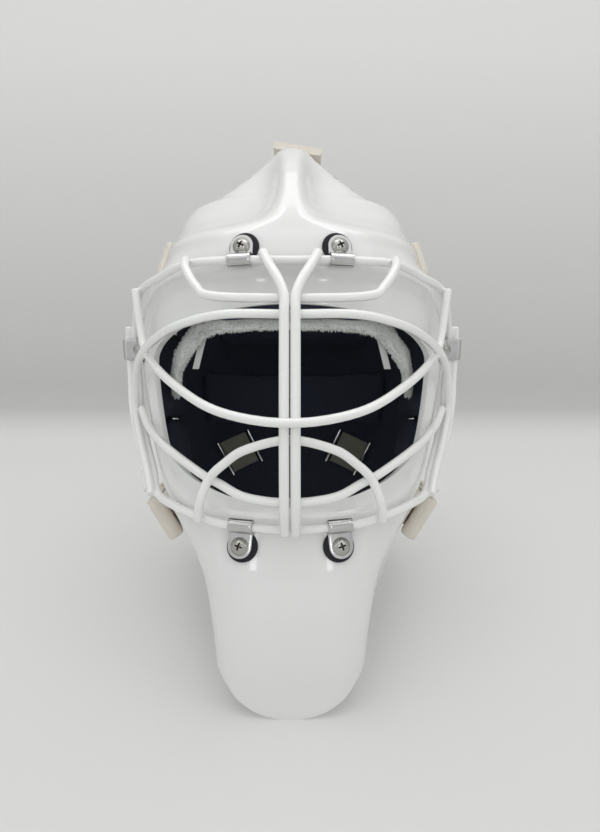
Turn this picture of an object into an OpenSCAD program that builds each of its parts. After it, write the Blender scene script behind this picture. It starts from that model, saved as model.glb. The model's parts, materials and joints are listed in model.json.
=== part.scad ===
// Hockey goalie mask: a moulded shell with a wire cage in front, foam inside, and a back plate on straps.
// Everything is shaped in the mask's own frame (x across, y from front to back, z up the face) and
// then leaned back, so that it rests on the chin and on the foot of the back plate.

/* [Stance] */
// Angle that the standing mask leans back, in degrees
lean = 17; // [15:0.5:19]

/* [Shell] */
// Thickness of the shell
shell_t = 4; // [3:0.25:5]
// Depth of the recess that the cage stands over
recess_d = 4; // [2:0.5:6]
// Height of the flat cut where the chin stands
foot_cut = 0.6; // [0.4:0.1:1]
// Height of the crown's ridge over the forehead
crown_h = 103; // [92:1:112]
// Height of the jaw, from the point of the chin up to the clips of the cage
jaw_h = 101; // [92:1:110]

/* [Cage] */
// Diameter of the cage wires
bar_d = 5.6; // [5.4:0.1:5.9]
// Diameter of the two centre wires
centre_d = 6.2; // [6:0.1:6.4]
// Distance between the axes of the two centre wires
centre_gap = 6.6; // [6.5:0.1:7]

/* [Clips] */
// Width of a clip
clip_w = 15; // [12:0.5:18]
// Thickness of the clip's steel
clip_t = 1.2; // [0.8:0.1:1.6]
// Diameter of the rubber washer
washer_d = 19.5; // [17:0.5:21]
// Thickness of the rubber washer
washer_t = 2; // [1.5:0.1:2.2]
// Diameter of the screw's head
head_d = 11.2; // [10:0.2:11.4]
// Height of the screw's head
head_h = 3.4; // [2.5:0.1:4]
// Diameter of the screw's shank
shank_d = 4.4; // [4:0.1:5]
// Clearance round the shank in the shell, washer and clip
shank_gap = 0.3; // [0.2:0.05:0.4]
// Diameter of the nut's flange
nut_d = 13; // [11:0.5:14]
// Height of the nut
nut_h = 4.6; // [4:0.2:6]
// Clearance between a hook and the wire in it
hook_gap = 0.5; // [0.45:0.05:0.7]

/* [Padding] */
// Thickness of the forehead pad
forehead_t = 15; // [10:0.5:16]
// Thickness of the side pads
pad_t = 14; // [8:0.5:16]
// Gap between a pad and what it is stuck to
pad_gap = 0.3; // [0.2:0.05:0.5]
// How much further in the jaw pads start, and how much thinner they are
jaw_pad_in = 0.6; // [0.4:0.1:2]
jaw_pad_less = 2; // [1:0.5:4]
// How much deeper the forehead pad sits than the others
forehead_in = 0.7; // [0.3:0.1:1.5]
// How much thicker the temple pads grow towards the rear
temple_grow = 5; // [0:0.5:6]
// How much thinner the crown pads are
crown_pad_less = 4; // [2:0.5:5]
// Thickness of the sweatband
band_t = 4.5; // [3:0.25:6]
// Height of the sweatband
band_h = 17; // [12:0.5:20]

/* [Chin cup] */
// Half of the cup's width
cup_w = 34; // [28:0.5:38]
// Wall of the cup
cup_t = 5; // [3:0.5:6]
// Depth of the cup from front to back
cup_depth = 42; // [34:0.5:46]
// Width of the cup's straps
cup_strap_w = 14; // [10:0.5:16]
// Thickness of the cup's straps
cup_strap_t = 2.2; // [1.5:0.1:3]

/* [Back plate] */
// Thickness of the back plate
plate_t = 3.5; // [2.5:0.25:4.5]
// Thickness of the back plate's pad
plate_pad_t = 10; // [6:0.5:12]

/* [Straps] */
// Thickness of the top strap
top_t = 6; // [5:0.25:6.5]
// Width of the top strap
top_w = 40; // [30:1:44]
// Distance of the top strap from the centre line
top_x = 4; // [0:0.5:5]
// Roll of the top strap where it lies on the ridge, in degrees
top_roll = 9; // [0:0.5:10]
// Thickness of the side straps
side_t = 5; // [4:0.25:5.5]
// Width of the lower side straps
side_w = 34; // [28:1:36]
// Width of the upper side straps
upper_strap_w = 28; // [22:1:30]
// Gap between the folds of a side strap
fold_gap = 2; // [1.5:0.25:2.5]
// Gap between a strap and what it lies on
strap_gap = 0.5; // [0.3:0.1:1]
// Diameter of a strap rivet
rivet_d = 11; // [8:0.5:12]
// Diameter of a strap slide's rod
rod_d = 3; // [2.5:0.1:4]
// Width of the keeper tape that the slides hold
keeper_w = 30; // [26:1:34]

/* [Hidden] */

white = [0.93, 0.93, 0.92];
foam = [0.10, 0.11, 0.15];
webbing = [0.90, 0.85, 0.76];
steel = [0.75, 0.75, 0.76];

bar_r = bar_d / 2;
centre_r = centre_d / 2;

// Smooth curve through the rows of a table, whose first column is the place along it
function row_at(t, s, i = 0) = i >= len(t) - 2 || s < t[i + 1][0] ? i : row_at(t, s, i + 1);
function slope(t, i) = let (a = t[max(i - 1, 0)], b = t[min(i + 1, len(t) - 1)])
    (b - a) / (b[0] - a[0]);
function at(t, s) = let (i = row_at(t, s), a = t[i], b = t[i + 1], h = b[0] - a[0],
    u = min(max((s - a[0]) / h, 0), 1), v = u * u * (3 - 2 * u))
    a * (1 - v) + b * v + h * u * (1 - u) * ((1 - u) * slope(t, i) - u * slope(t, i + 1));
function unit(v) = v / norm(v);

// Shell sections, from the chin up: height, front, half width where it is widest, where that is,
// half width at the rear edge, rear edge, squareness, share of the width that the face opening
// takes, how far the centre ridge stands forward of the scoops beside it, and half its width
sections = [
    [-8, -130, 45, -104, 72, 18, 3.6, 0.72, 0, 60],
    [12, -133, 46, -104, 75, 18, 3.6, 0.72, 0, 60],
    [30, -136, 48, -104, 78, 18, 3.6, 0.72, 0, 60],
    [55, -138, 51, -102, 82, 18, 3.6, 0.72, 0, 60],
    [86, -138, 58, -92, 87, 20, 3.4, 0.73, 0, 60],
    [105, -135, 69, -76, 92, 24, 3.1, 0.745, 0, 60],
    [125, -131.5, 85, -50, 98, 28, 2.8, 0.775, 0, 60],
    [150, -129, 100, -22, 104, 32, 2.5, 0.84, 0, 60],
    [180, -128, 110, -2, 109, 36, 2.4, 0.868, 0, 60],
    [230, -126, 118, 6, 116, 40, 2.4, 0.862, 0, 60],
    [262, -125, 119, 8, 116, 40, 2.4, 0.83, 0, 60],
    [288, -125, 108, 8, 108, 40, 2.5, 0.785, 0, 60],
    [300, -122.5, 98, 8, 95.5, 40, 2.6, 0.76, 0.5, 58],
    [308, -115, 96, 7, 93.5, 39, 2.8, 0.75, 5, 50],
    [316, -104, 93.5, 6, 91, 39, 2.7, 0.74, 13, 24],
    [326, -88, 90.5, 5, 87.5, 38, 2.6, 0.72, 24, 16],
    [338, -70, 87.5, 4, 84.5, 37, 2.6, 0.7, 34.5, 13],
    [347, -58, 84, 4, 81, 36, 2.5, 0.68, 40, 12.5],
    [351.5, -53, 79.5, 4, 77.5, 35, 2.45, 0.67, 42.5, 12],
    [355, -49.5, 70.5, 4, 69.5, 35, 2.4, 0.67, 43, 12],
    [367, -41, 53, 4, 52, 34, 2.3, 0.64, 39, 12],
    [384, -34, 29, 5, 29, 31, 2.3, 0.6, 22, 13],
    [394, -27, 16.5, 7, 16.5, 28, 2.2, 0.55, 9, 13],
    [400, -14, 9, 9, 9, 25, 2.1, 0.5, 2, 12],
    [403, -3, 4.5, 10, 4.5, 24, 2, 0.5, 0, 12]];
ridge_top = sections[len(sections) - 1][0];

// Heights of the shell's key lines against the column, which is 0 at the centre line, 1 at the side
// of the face opening, 2 at the widest place and 3 at the rear edge: jaw edge, foot of the recess,
// foot and head of the face opening, head of the recess, and top of the forehead
lines = [
    [-0.45, 1.4, 124.5, 136, 256, 281, 300],
    [0, -1, 124, 134.5, 259.6, 281, 300],
    [0.45, 1.4, 124.5, 136, 256, 281, 300],
    [0.72, 5, 127.3, 143.4, 249, 280.4, 300],
    [0.9, 9, 131.9, 152, 241.3, 279.3, 300],
    [1, 11.5, 137.6, 161.5, 233.5, 277.4, 300],
    [1.4, 24, 150.6, 168, 231, 271.3, 299],
    [2, 36, 160, 176, 228, 266, 298],
    [3, 82, 160, 176, 228, 264, 298]];

// Real height of a row of these tables: the crown and the jaw have heights of their own
crown_from = lines[1][6];
jaw_from = 100;
function height(w) = w > crown_from ? crown_from + (w - crown_from) * crown_h / (ridge_top - crown_from)
    : w < jaw_from ? jaw_from - (jaw_from - w) * jaw_h / (jaw_from - lines[1][1]) : w;

// Point of the plain outer surface at a height and column
function skin(w, c) = let (s = at(sections, w), a = abs(c), n = s[6], low = asin(pow(s[7], n / 2)),
    turn = low + (90 - low) * (a - 1), run = min(max(a - 2, 0), 1),
    sx = a <= 1 ? a * s[7] : a < 2 ? pow(sin(turn), 2 / n) : 1,
    sy = a <= 1 ? pow(1 - pow(sx, n), 1 / n) : a < 2 ? pow(cos(turn), 2 / n) : 0,
    x = a <= 2 ? s[2] * sx : s[2] + (s[4] - s[2]) * pow(run, 1.3),
    y = a <= 2 ? s[3] - (s[3] - s[1]) * sy : s[3] + (s[5] - s[3]) * run)
    [sign(c) * x, y - s[8] / (1 + pow(x / s[9], 4)), height(w)];
step = 0.02;
function normal_at(w, c) = unit(cross(skin(w, c + step) - skin(w, c - step),
    skin(w + step * 10, c) - skin(w - step * 10, c)));
function inset(w, c, d) = skin(w, c) - normal_at(w, c) * d;

// Rows of the shell's grid, as a band between two key lines and a share of that band
rows = concat(
    [for (f = [0, 0.05, 0.12, 0.22, 0.34, 0.46, 0.58, 0.7, 0.8, 0.88, 0.95]) [0, f]],
    [[1, 0], [1, 0.45]],
    [for (f = [0, 0.1, 0.2, 0.32, 0.44, 0.56, 0.68, 0.8, 0.9]) [2, f]],
    [[3, 0], [3, 0.4], [3, 0.8]],
    [[4, 0], [4, 0.5]],
    [for (f = [0, 0.04, 0.08, 0.12, 0.18, 0.25, 0.32, 0.38, 0.435, 0.475, 0.515, 0.565, 0.62, 0.68,
        0.75, 0.82, 0.88, 0.93, 0.97, 1]) [5, f]]);
half_columns = [0.15, 0.3, 0.45, 0.6, 0.74, 0.87, 1, 1.04, 1.12, 1.22, 1.35, 1.5, 1.67, 1.84, 2, 2.2,
    2.45, 2.75, 3];
columns = concat([for (i = [len(half_columns) - 1:-1:0]) -half_columns[i]], [0], half_columns);
function row_height(r, c) = let (k = at(lines, abs(c)), a = k[r[0] + 1],
    b = r[0] == 5 ? ridge_top : k[r[0] + 2]) a + (b - a) * r[1];
function in_band(r, from, to) = (r[0] > from[0] || (r[0] == from[0] && r[1] >= from[1]))
    && (r[0] < to[0] || (r[0] == to[0] && r[1] <= to[1]));
function recessed(r, c) = in_band(r, [1, 0.2], [3, 0.9]) && abs(c) < 1.08 ? recess_d : 0;
function is_open(i, j) = in_band(rows[i], [2, 0], [2, 0.95])
    && abs(columns[j] + columns[j + 1]) / 2 < 1;

// Cells of a grid as a closed wall: quads in front and behind, and rims where a neighbour is open
module wall_grid(front, back, nr, nc, open_cell) {
    total = nr * nc;
    function present(i, j) = i >= 0 && j >= 0 && i < nr - 1 && j < nc - 1 && !open_cell[i][j];
    function quad(a, b, c, d) = [[a, b, c], [a, c, d]];
    faces = [for (i = [0:nr - 2]) for (j = [0:nc - 2]) if (present(i, j))
        let (a = i * nc + j, b = a + 1, d = a + nc, c = d + 1,
            A = a + total, B = b + total, C = c + total, D = d + total)
        each concat(quad(a, d, c, b), quad(A, B, C, D),
            present(i - 1, j) ? [] : quad(a, b, B, A),
            present(i + 1, j) ? [] : quad(c, d, D, C),
            present(i, j - 1) ? [] : quad(d, a, A, D),
            present(i, j + 1) ? [] : quad(b, c, C, B))];
    polyhedron(concat(front, back), faces);
}

// Patch of lining at a depth inside the shell, between two heights and two columns
module lining(w0, w1, c0, c1, depth, t, nr = 5, nc = 5, round_by = 0, grow = 0) {
    function tuck(u, v) = round_by * (pow(abs(2 * u - 1), 4) + pow(abs(2 * v - 1), 4)) / 2;
    grid = [for (i = [0:nr - 1]) for (j = [0:nc - 1]) let (u = i / (nr - 1), v = j / (nc - 1))
        [w0 + (w1 - w0) * u, c0 + (c1 - c0) * v, tuck(u, v) - grow * v * v]];
    wall_grid([for (g = grid) inset(g[0], g[1], depth)],
        [for (g = grid) inset(g[0], g[1], depth + t - g[2])], nr, nc,
        [for (i = [0:nr]) [for (j = [0:nc]) false]]);
}

// Leans the mask back and sets the middle of its footprint on the origin
function leaned(p) = [p[0], p[1] * cos(lean) + p[2] * sin(lean), p[2] * cos(lean) - p[1] * sin(lean)];
module stand() {
    translate([0, -(chin_front + rearmost) / 2, -floor_z]) rotate([-lean, 0, 0]) children();
}
room = 600;
module above_floor() {
    intersection() {
        stand() children();
        translate([-room / 2, -room / 2, 0]) cube(room);
    }
}

// Wire swept along a smooth curve through its own points
function curve(p, closed) = let (n = len(p), last = closed ? n - 1 : n - 2,
    pick = function(i) closed ? p[(i + n) % n] : p[min(max(i, 0), n - 1)])
    concat([for (i = [0:last]) let (a = pick(i - 1), b = pick(i), c = pick(i + 1), d = pick(i + 2),
        steps = max(2, round(norm(c - b) / bar_run)))
        for (k = [0:steps - 1]) let (u = k / steps)
            b + (c - a) * u / 2 + (a - 2.5 * b + 2 * c - 0.5 * d) * u * u
                + (1.5 * b - 0.5 * a - 1.5 * c + 0.5 * d) * u * u * u],
        closed ? [] : [p[n - 1]]);
bar_run = 11;
bar_sides = 8;
module wire(p, r, closed = false) {
    path = curve(p, closed);
    n = len(path);
    tangent = function(i) unit(closed ? path[(i + 1) % n] - path[(i + n - 1) % n]
        : path[min(i + 1, n - 1)] - path[max(i - 1, 0)]);
    rings = [for (i = [0:n - 1]) let (t = tangent(i), out = path[i] - [0, 40, path[i][2] * 0.7 + 60],
        side = unit(cross(t, out)), up = cross(side, t))
        for (k = [0:bar_sides - 1]) let (a = 360 * (k + 0.5) / bar_sides)
            path[i] + r * (cos(a) * side + sin(a) * up)];
    faces = concat([for (i = [0:n - (closed ? 1 : 2)]) for (k = [0:bar_sides - 1])
        let (m = (k + 1) % bar_sides, q = ((i + 1) % n) * bar_sides, o = i * bar_sides)
        each [[o + k, q + m, q + k], [o + k, o + m, q + m]]],
        closed ? [] : [[for (k = [bar_sides - 1:-1:0]) k],
            [for (k = [0:bar_sides - 1]) (n - 1) * bar_sides + k]]);
    polyhedron(rings, faces);
}
function flip(p) = [-p[0], p[1], p[2]];
function mirrored(half) = concat([for (i = [len(half) - 1:-1:1]) flip(half[i])], half);
function closed_pair(half) = concat(half, [for (i = [len(half) - 2:-1:1]) flip(half[i])]);

// Routes of the cage wires: the right half from the centre line outwards
rim = [[0, -130, 285], [30, -129.2, 285.2], [66, -118, 285.5], [88, -98.5, 281], [106, -75, 277],
    [112.5, -62, 266], [116.2, -50.5, 252], [116.8, -46, 235], [115, -47, 215], [111.8, -52.5, 193],
    [106.5, -59.5, 171], [98.3, -72.5, 150], [92, -87, 135], [76, -110.4, 129.5], [56, -128.5, 125],
    [37, -135, 121], [0, -137.8, 118.5]];
eye_loop = [[0, -152.8, 247.8], [38, -151.5, 248], [63, -142, 244.5], [82, -124, 239.5],
    [100, -97, 231], [110.4, -73, 217.8], [114.4, -57.3, 193], [109.5, -64, 171],
    [101.5, -77, 150], [95.5, -91, 134.5]];
smile = [[0, -166.8, 184], [41, -159.5, 190.5], [72.6, -132, 207.8], [94.8, -99, 226.4],
    [103.2, -83.5, 240], [109.6, -79, 277]];
lower = [[0, -150.3, 136.7], [26.2, -147, 139.4], [42.8, -141.5, 147], [56.6, -131, 153],
    [82.4, -105, 167.5], [101, -75, 180.4], [109.7, -60.2, 194]];
arch = [[0, -156.1, 174], [26, -152, 168.2], [39.4, -148, 159.5], [48.9, -144, 150.1],
    [54.6, -141.5, 136], [57, -133.6, 123.3]];
brow = [[0, -149.6, 258], [46, -147.5, 259.5], [57, -141, 266.6], [65.4, -131, 280.2],
    [66.3, -123.8, 287]];
centre = [[17, -135, 288.5], [12.5, -143.5, 279], [6.5, -150.5, 268], [3.3, -155.3, 258],
    [3.3, -158.2, 247], [3.3, -160.8, 215], [3.3, -161.5, 180], [3.3, -161, 160],
    [3.3, -156.1, 137], [3.3, -151, 127], [3.3, -143.2, 117.5]];
brace = [[121.5, -49.5, 254.6], [122.3, -46, 238], [120.8, -46, 218], [118.4, -51, 195],
    [113.2, -57.3, 172], [105.2, -70, 151], [100, -83.6, 136.5]];

module cage_rim() { color(white) stand() wire(closed_pair(rim), bar_r, true); }
module cage_eye_loop() { color(white) stand() wire(mirrored(eye_loop), bar_r); }
module cage_smile_bar() { color(white) stand() wire(mirrored(smile), bar_r); }
module cage_lower_bar() { color(white) stand() wire(mirrored(lower), bar_r); }
module cage_arch_bar() { color(white) stand() wire(mirrored(arch), bar_r); }
module cage_brow_bar() { color(white) stand() wire(mirrored(brow), bar_r); }
module cage_centre(side) {
    spread = centre_gap / 2 - centre[4][0];
    color(white) stand() mirror([side < 0 ? 1 : 0, 0, 0])
        wire([for (p = centre) p + [spread, 0, 0]], centre_r);
}
module cage_brace(side) {
    color(white) stand() mirror([side < 0 ? 1 : 0, 0, 0]) wire(brace, bar_r);
}

// Places of the six clips: height and column of the screw, distance from screw to wire, height of
// the wire's axis over the shell, turn of the clip about the screw, and where the plate bends up
top_seat = [294.5, 0.385, 10.4, 5.2, 180, 4];
bottom_seat = [107.5, 0.58, 12.5, 4.9, 4, 4];
side_seat = [237, 1.26, 15.45, 7.8, -85, 7.7];
seats = [top_seat, bottom_seat, side_seat];
sides = [-1, 1];
module at_seat(seat, side) {
    p = skin(seat[0], seat[1]);
    n = normal_at(seat[0], seat[1]);
    mirror([side < 0 ? 1 : 0, 0, 0]) translate(p)
        rotate([0, 0, atan2(n[0], -n[1])]) rotate([90 - asin(n[2]), 0, 0]) children();
}

// Edge of a bent strip, at a distance from the line that it follows
function bent_edge(line, d) = [for (i = [0:len(line) - 1]) let (
    a = unit(line[max(i, 1)] - line[max(i, 1) - 1]),
    b = unit(line[min(i + 1, len(line) - 1)] - line[min(i, len(line) - 2)]),
    m = unit(a + b)) line[i] + d * [-m[1], m[0]] / (m * a)];
function reversed(list) = [for (i = [len(list) - 1:-1:0]) list[i]];
module clip(seat) {
    wire_at = [seat[2], seat[3]];
    hook_r = bar_r + hook_gap + clip_t / 2;
    foot = [seat[2] - seat[5], washer_t + clip_t / 2];
    away = wire_at - foot;
    rise = atan2(away[1], away[0]) + asin(hook_r / norm(away)) + 90;
    line = concat([[-clip_w * 0.6, foot[1]], foot],
        [for (i = [0:12]) let (a = rise - (rise + 35) * i / 12) wire_at + hook_r * [cos(a), sin(a)]]);
    rotate([0, 0, seat[4]]) difference() {
        intersection() {
            rotate([90, 0, 90]) linear_extrude(clip_w, center = true)
                polygon(concat(bent_edge(line, clip_t / 2), reversed(bent_edge(line, -clip_t / 2))));
            union() {
                cylinder(h = 60, r = clip_w / 2, center = true, $fn = 48);
                translate([-clip_w / 2, 0, -30]) cube([clip_w, 60, 60]);
            }
        }
        cylinder(h = 60, r = shank_d / 2 + shank_gap, center = true, $fn = 32);
        translate([0, wire_at[0], wire_at[1]]) rotate([0, 90, 0])
            cylinder(h = clip_w + 1, r = bar_r + hook_gap, center = true, $fn = 48);
    }
}
module placed_clip(seat, side) { color(steel) stand() at_seat(seat, side) clip(seat); }

module clip_washers() {
    color([0.06, 0.06, 0.07]) stand() for (seat = seats, side = sides) at_seat(seat, side)
        difference() {
            cylinder(h = washer_t, r = washer_d / 2, $fn = 48);
            translate([0, 0, -1]) cylinder(h = washer_t + 2, r = shank_d / 2 + shank_gap, $fn = 32);
        }
}
nut_gap = 1.3;
shank_l = washer_t + clip_t + shell_t + nut_gap + nut_h + 1;
module clip_screws() {
    seat_z = washer_t + clip_t;
    dome = (head_d * head_d / 4 + head_h * head_h) / (2 * head_h);
    color(steel) stand() for (seat = seats, side = sides) at_seat(seat, side) difference() {
        union() {
            intersection() {
                translate([0, 0, seat_z + head_h - dome]) sphere(dome, $fn = 48);
                translate([0, 0, seat_z]) cylinder(h = head_h, r = head_d / 2, $fn = 48);
            }
            translate([0, 0, seat_z - shank_l]) cylinder(h = shank_l + 0.5, r = shank_d / 2, $fn = 32);
        }
        for (a = [0, 90]) translate([0, 0, seat_z + head_h]) rotate([0, 0, a + seat[0]])
            cube([head_d * 0.5, head_d * 0.1, head_h * 1.1], center = true);
    }
}
module clip_nuts() {
    hole = shank_d / 2 + 0.05;
    color(steel) stand() for (seat = seats, side = sides) at_seat(seat, side)
        translate([0, 0, -shell_t - nut_gap]) rotate([180, 0, 0]) difference() {
            union() {
                cylinder(h = 1.4, r = nut_d / 2, $fn = 48);
                cylinder(h = nut_h, r = nut_d * 0.34, $fn = 6);
            }
            translate([0, 0, -1]) cylinder(h = nut_h + 2, r = hole, $fn = 32);
        }
}

module screw_bores() {
    for (seat = seats, side = sides) at_seat(seat, side)
        translate([0, 0, -shell_t - 3])
            cylinder(h = shell_t + 6, r = shank_d / 2 + shank_gap, $fn = 32);
}

upper_w = 312;
lower_w = 120;
// Slots that the side straps pass through, and the vents of the roof and the ears
slot_t = side_t + 1;
lower_slot = [lower_w, 2.06, side_w + 2];
upper_slot = [upper_w, 2.32, upper_strap_w + 2];
module side_slot(s, side) {
    at_seat(s, side) cube([slot_t, s[2], 30], center = true);
}
roof_vents = [[357, 1.55], [366, 1.5], [375, 1.45]];
ear_vents = [[200, 2.35], [214, 2.35], [228, 2.35]];
module vent(v, side, l, t) {
    at_seat(v, side) translate([0, 0, -shell_t - 2]) linear_extrude(shell_t + 6) union() {
        square([l - t, t], center = true);
        for (s = sides) translate([s * (l - t) / 2, 0]) circle(t / 2, $fn = 24);
    }
}

module shell() {
    grid = [for (r = rows) for (c = columns) [row_height(r, c), c, recessed(r, c)]];
    color(white) above_floor() difference() {
        wall_grid([for (g = grid) inset(g[0], g[1], g[2])],
            [for (g = grid) inset(g[0], g[1], g[2] + shell_t)], len(rows), len(columns),
            [for (i = [0:len(rows)]) [for (j = [0:len(columns) - 2]) i < len(rows) && is_open(i, j)]]);
        screw_bores();
        for (side = sides) {
            side_slot(lower_slot, side);
            side_slot(upper_slot, side);
            for (v = roof_vents) vent(v, side, 16, 4);
            for (v = ear_vents) vent(v, side, 24, 6);
        }
    }
}

// Lining: each pad follows the shell from inside. A patch is its lowest and highest row, its first
// and last column, the rows and columns of its grid, how far its edges are rounded, and how much
// thicker it grows towards the rear
seat_depth = shell_t + pad_gap;
forehead_patch = [250, 281, -1.06, 1.06, 5, 13, 3];
temple_patch = [186, 262, 1.37, 2.9, 6, 9, 4, temple_grow];
cheek_patch = [144, 180, 1.69, 2.9, 5, 7, 4];
jaw_patch = [92, 130, 2.3, 2.9, 5, 5, 3];
crown_patch = [357, 378, 1.2, 2.8, 4, 8, 2];
tab_rows = [220, 228, 236, 244];
tab_t = 1.2;
module pad(patch, depth, t) {
    lining(patch[0], patch[1], patch[2], patch[3], depth, t, patch[4], patch[5], patch[6],
        is_undef(patch[7]) ? 0 : patch[7]);
}
module forehead_pad() {
    color(foam) stand() pad(forehead_patch, seat_depth + recess_d + forehead_in,
        forehead_t - recess_d - forehead_in);
}
module side_pad(patch, side, depth, t) {
    color(foam) stand() mirror([side < 0 ? 1 : 0, 0, 0]) pad(patch, depth, t);
}
module temple_pad(side) { side_pad(temple_patch, side, seat_depth, pad_t); }
module cheek_pad(side) { side_pad(cheek_patch, side, seat_depth, pad_t); }
module jaw_pad(side) { side_pad(jaw_patch, side, seat_depth + jaw_pad_in, pad_t - jaw_pad_less); }
module crown_pad(side) { side_pad(crown_patch, side, seat_depth, pad_t - crown_pad_less); }

// Sweatband: a terry band on the inner face of the forehead pad, running back to the temples
band_route = [[0, 254.5], [0.4, 254], [0.66, 253], [0.8, 244], [0.95, 230], [1.12, 216], [1.4, 206]];
function band_point(s, d, up) = let (r = at([for (i = [0:len(band_route) - 1])
    concat([i], band_route[i])], s)) inset(r[2] + up, r[1], d);
module sweatband() {
    depth = seat_depth + forehead_t + pad_gap;
    side_step = [for (i = [-12:12]) i / 2];
    grid = [for (u = [0, 1]) for (s = side_step) [u, s]];
    function place(g, d) = let (p = band_point(abs(g[1]), d, (g[0] - 0.5) * band_h))
        g[1] < 0 ? flip(p) : p;
    color([0.72, 0.72, 0.70]) stand() wall_grid([for (g = grid) place(g, depth)],
        [for (g = grid) place(g, depth + band_t)], 2, len(side_step),
        [for (i = [0:1]) [for (j = side_step) false]]);
}
module sweatband_tabs() {
    depth = seat_depth + forehead_t + band_t + 3 * pad_gap;
    function place(d) = [for (w = tab_rows) for (c = [0, 0.065])
        inset(w, 0.815 - 0.0042 * (w - tab_rows[0]) + c, d)];
    color([0.85, 0.85, 0.84]) stand() for (side = sides) mirror([side < 0 ? 1 : 0, 0, 0])
        wall_grid(place(depth), place(depth + tab_t), len(tab_rows), 2,
            [for (w = tab_rows) [false, false]]);
}

// Chin cup: a half bowl that hangs on two straps snapped to the jaw
cup_at = [0, -58, 104];
function cup_point(u, v, d) = cup_at + [(cup_w - d) * sin(u) * cos(v), -(cup_depth - d) * cos(u) * cos(v),
    -(26 - d) * sin(v)];
module chin_cup() {
    us = [for (i = [-6:6]) i * 14];
    vs = [for (i = [0:5]) i * 13];
    color([0.13, 0.13, 0.15]) stand() wall_grid([for (v = vs) for (u = us) cup_point(u, 65 - v, 0)],
        [for (v = vs) for (u = us) cup_point(u, 65 - v, cup_t)], len(vs), len(us),
        [for (v = vs) [for (u = us) false]]);
}
cup_strap = [[cup_at + [cup_w + 0.3, -4, -8], [0, 0, 1]], [cup_at + [cup_w + 6, -3, -8], [0, 0, 1]],
    [cup_at + [cup_w + 14, -3, -7], unit([0.2, 0, 1])], in_shell(98, 1.9, cup_strap_t / 2 + strap_gap),
    in_shell(98, 1.84, cup_strap_t / 2 + strap_gap)];
snap_r = 6;
snap_h = 2.6;
snap_gap = 0.7;
module chin_strap(side) {
    color(webbing) stand() mirror([side < 0 ? 1 : 0, 0, 0]) tape(cup_strap, cup_strap_w, cup_strap_t);
}
module chin_snaps() {
    n = len(cup_strap);
    lift = unit(cross(cup_strap[n - 1][1], cup_strap[n - 1][0] - cup_strap[n - 2][0]));
    color(steel) stand() for (side = sides) mirror([side < 0 ? 1 : 0, 0, 0])
        seated(cup_strap[n - 1][0] * 0.6 + cup_strap[n - 2][0] * 0.4
            - lift * (cup_strap_t / 2 + snap_gap), -lift)
            rotate_extrude($fn = 32)
                polygon([[0, 0], [snap_r, 0], [snap_r * 0.9, snap_h * 0.7], [0, snap_h]]);
}

// Back plate: row, half width, depth behind its side edges, and how far round it reaches. Its lower
// part follows the jaw down, so that its foot stays on the floor
plate_rows = [
    [70, 66, 62, 38], [78, 70, 64, 62], [95, 78, 67, 78], [130, 94, 68, 87], [180, 106, 67, 90],
    [230, 111, 64, 90], [280, 105, 57, 88], [315, 91, 47, 83], [345, 74, 35, 73], [362, 62, 24, 60],
    [370, 58, 18, 48]];
plate_y = 50;
plate_from = 180;
plate_foot = 72;
jaw_rise = height(lines[1][1]) - lines[1][1];
function plate_height(w) = w > plate_from ? height(w)
    : w + jaw_rise * (plate_from - w) / (plate_from - plate_foot);
function plate_point(w, u, d) = let (s = at(plate_rows, w), a = u * s[3])
    [(s[1] - d) * sin(a), plate_y + (s[2] - d) * cos(a), plate_height(w)];
plate_us = [for (i = [-8:8]) i / 8];
chin_front = leaned(skin(0, 0))[1];
floor_z = leaned(skin(lines[1][1], 0))[2] + foot_cut;
module plate_patch(ws, us, d0, d1) {
    color(d0 > 0 ? foam : white) above_floor() wall_grid([for (w = ws) for (u = us) plate_point(w, -u, d0)],
        [for (w = ws) for (u = us) plate_point(w, -u, d1)], len(ws), len(us),
        [for (w = ws) [for (u = us) false]]);
}
module back_plate() {
    plate_patch([70, 74, 80, 90, 105, 130, 155, 180, 205, 230, 255, 280, 300, 318, 335, 350, 362, 370],
        plate_us, 0, plate_t);
}
module back_pad_upper() {
    plate_patch([255, 280, 300, 318, 335], [for (i = [-4:4]) i / 8], plate_t + pad_gap,
        plate_t + plate_pad_t);
}
module back_pad_lower() {
    plate_patch([180, 205, 230], [for (i = [-5:5]) i / 8], plate_t + pad_gap,
        plate_t + plate_pad_t);
}

// Where a strap lies: a point off an outer surface, and the direction across the strap
function on_shell(w, c, off) = let (n = normal_at(w, c))
    [skin(w, c) + n * off, unit(cross(n, skin(w, c + step) - skin(w, c - step)))];
function in_shell(w, c, off) = on_shell(w, c, -shell_t - off);
function on_plate(w, u, off) = [plate_point(w, u, -off),
    unit(plate_point(w + 1, u, 0) - plate_point(w - 1, u, 0))];
function between(a, b, f, lift) = [a[0] * (1 - f) + b[0] * f + lift, unit(a[1] * (1 - f) + b[1] * f)];

// Strap of even thickness that follows a list of such places
module tape(stops, w, t) {
    n = len(stops);
    rings = [for (i = [0:n - 1]) let (p = stops[i][0], high = stops[i][1] * w / 2,
        run = stops[min(i + 1, n - 1)][0] - stops[max(i - 1, 0)][0],
        side = unit(cross(run, high)) * t / 2)
        each [p + side + high, p - side + high, p - side - high, p + side - high]];
    faces = concat([for (i = [0:n - 2]) for (k = [0:3]) let (m = (k + 1) % 4, o = i * 4)
        each [[o + k, o + m, o + 4 + m], [o + k, o + 4 + m, o + 4 + k]]],
        [[3, 2, 1, 0], [for (k = [0:3]) (n - 1) * 4 + k]]);
    polyhedron(rings, faces);
}

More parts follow.
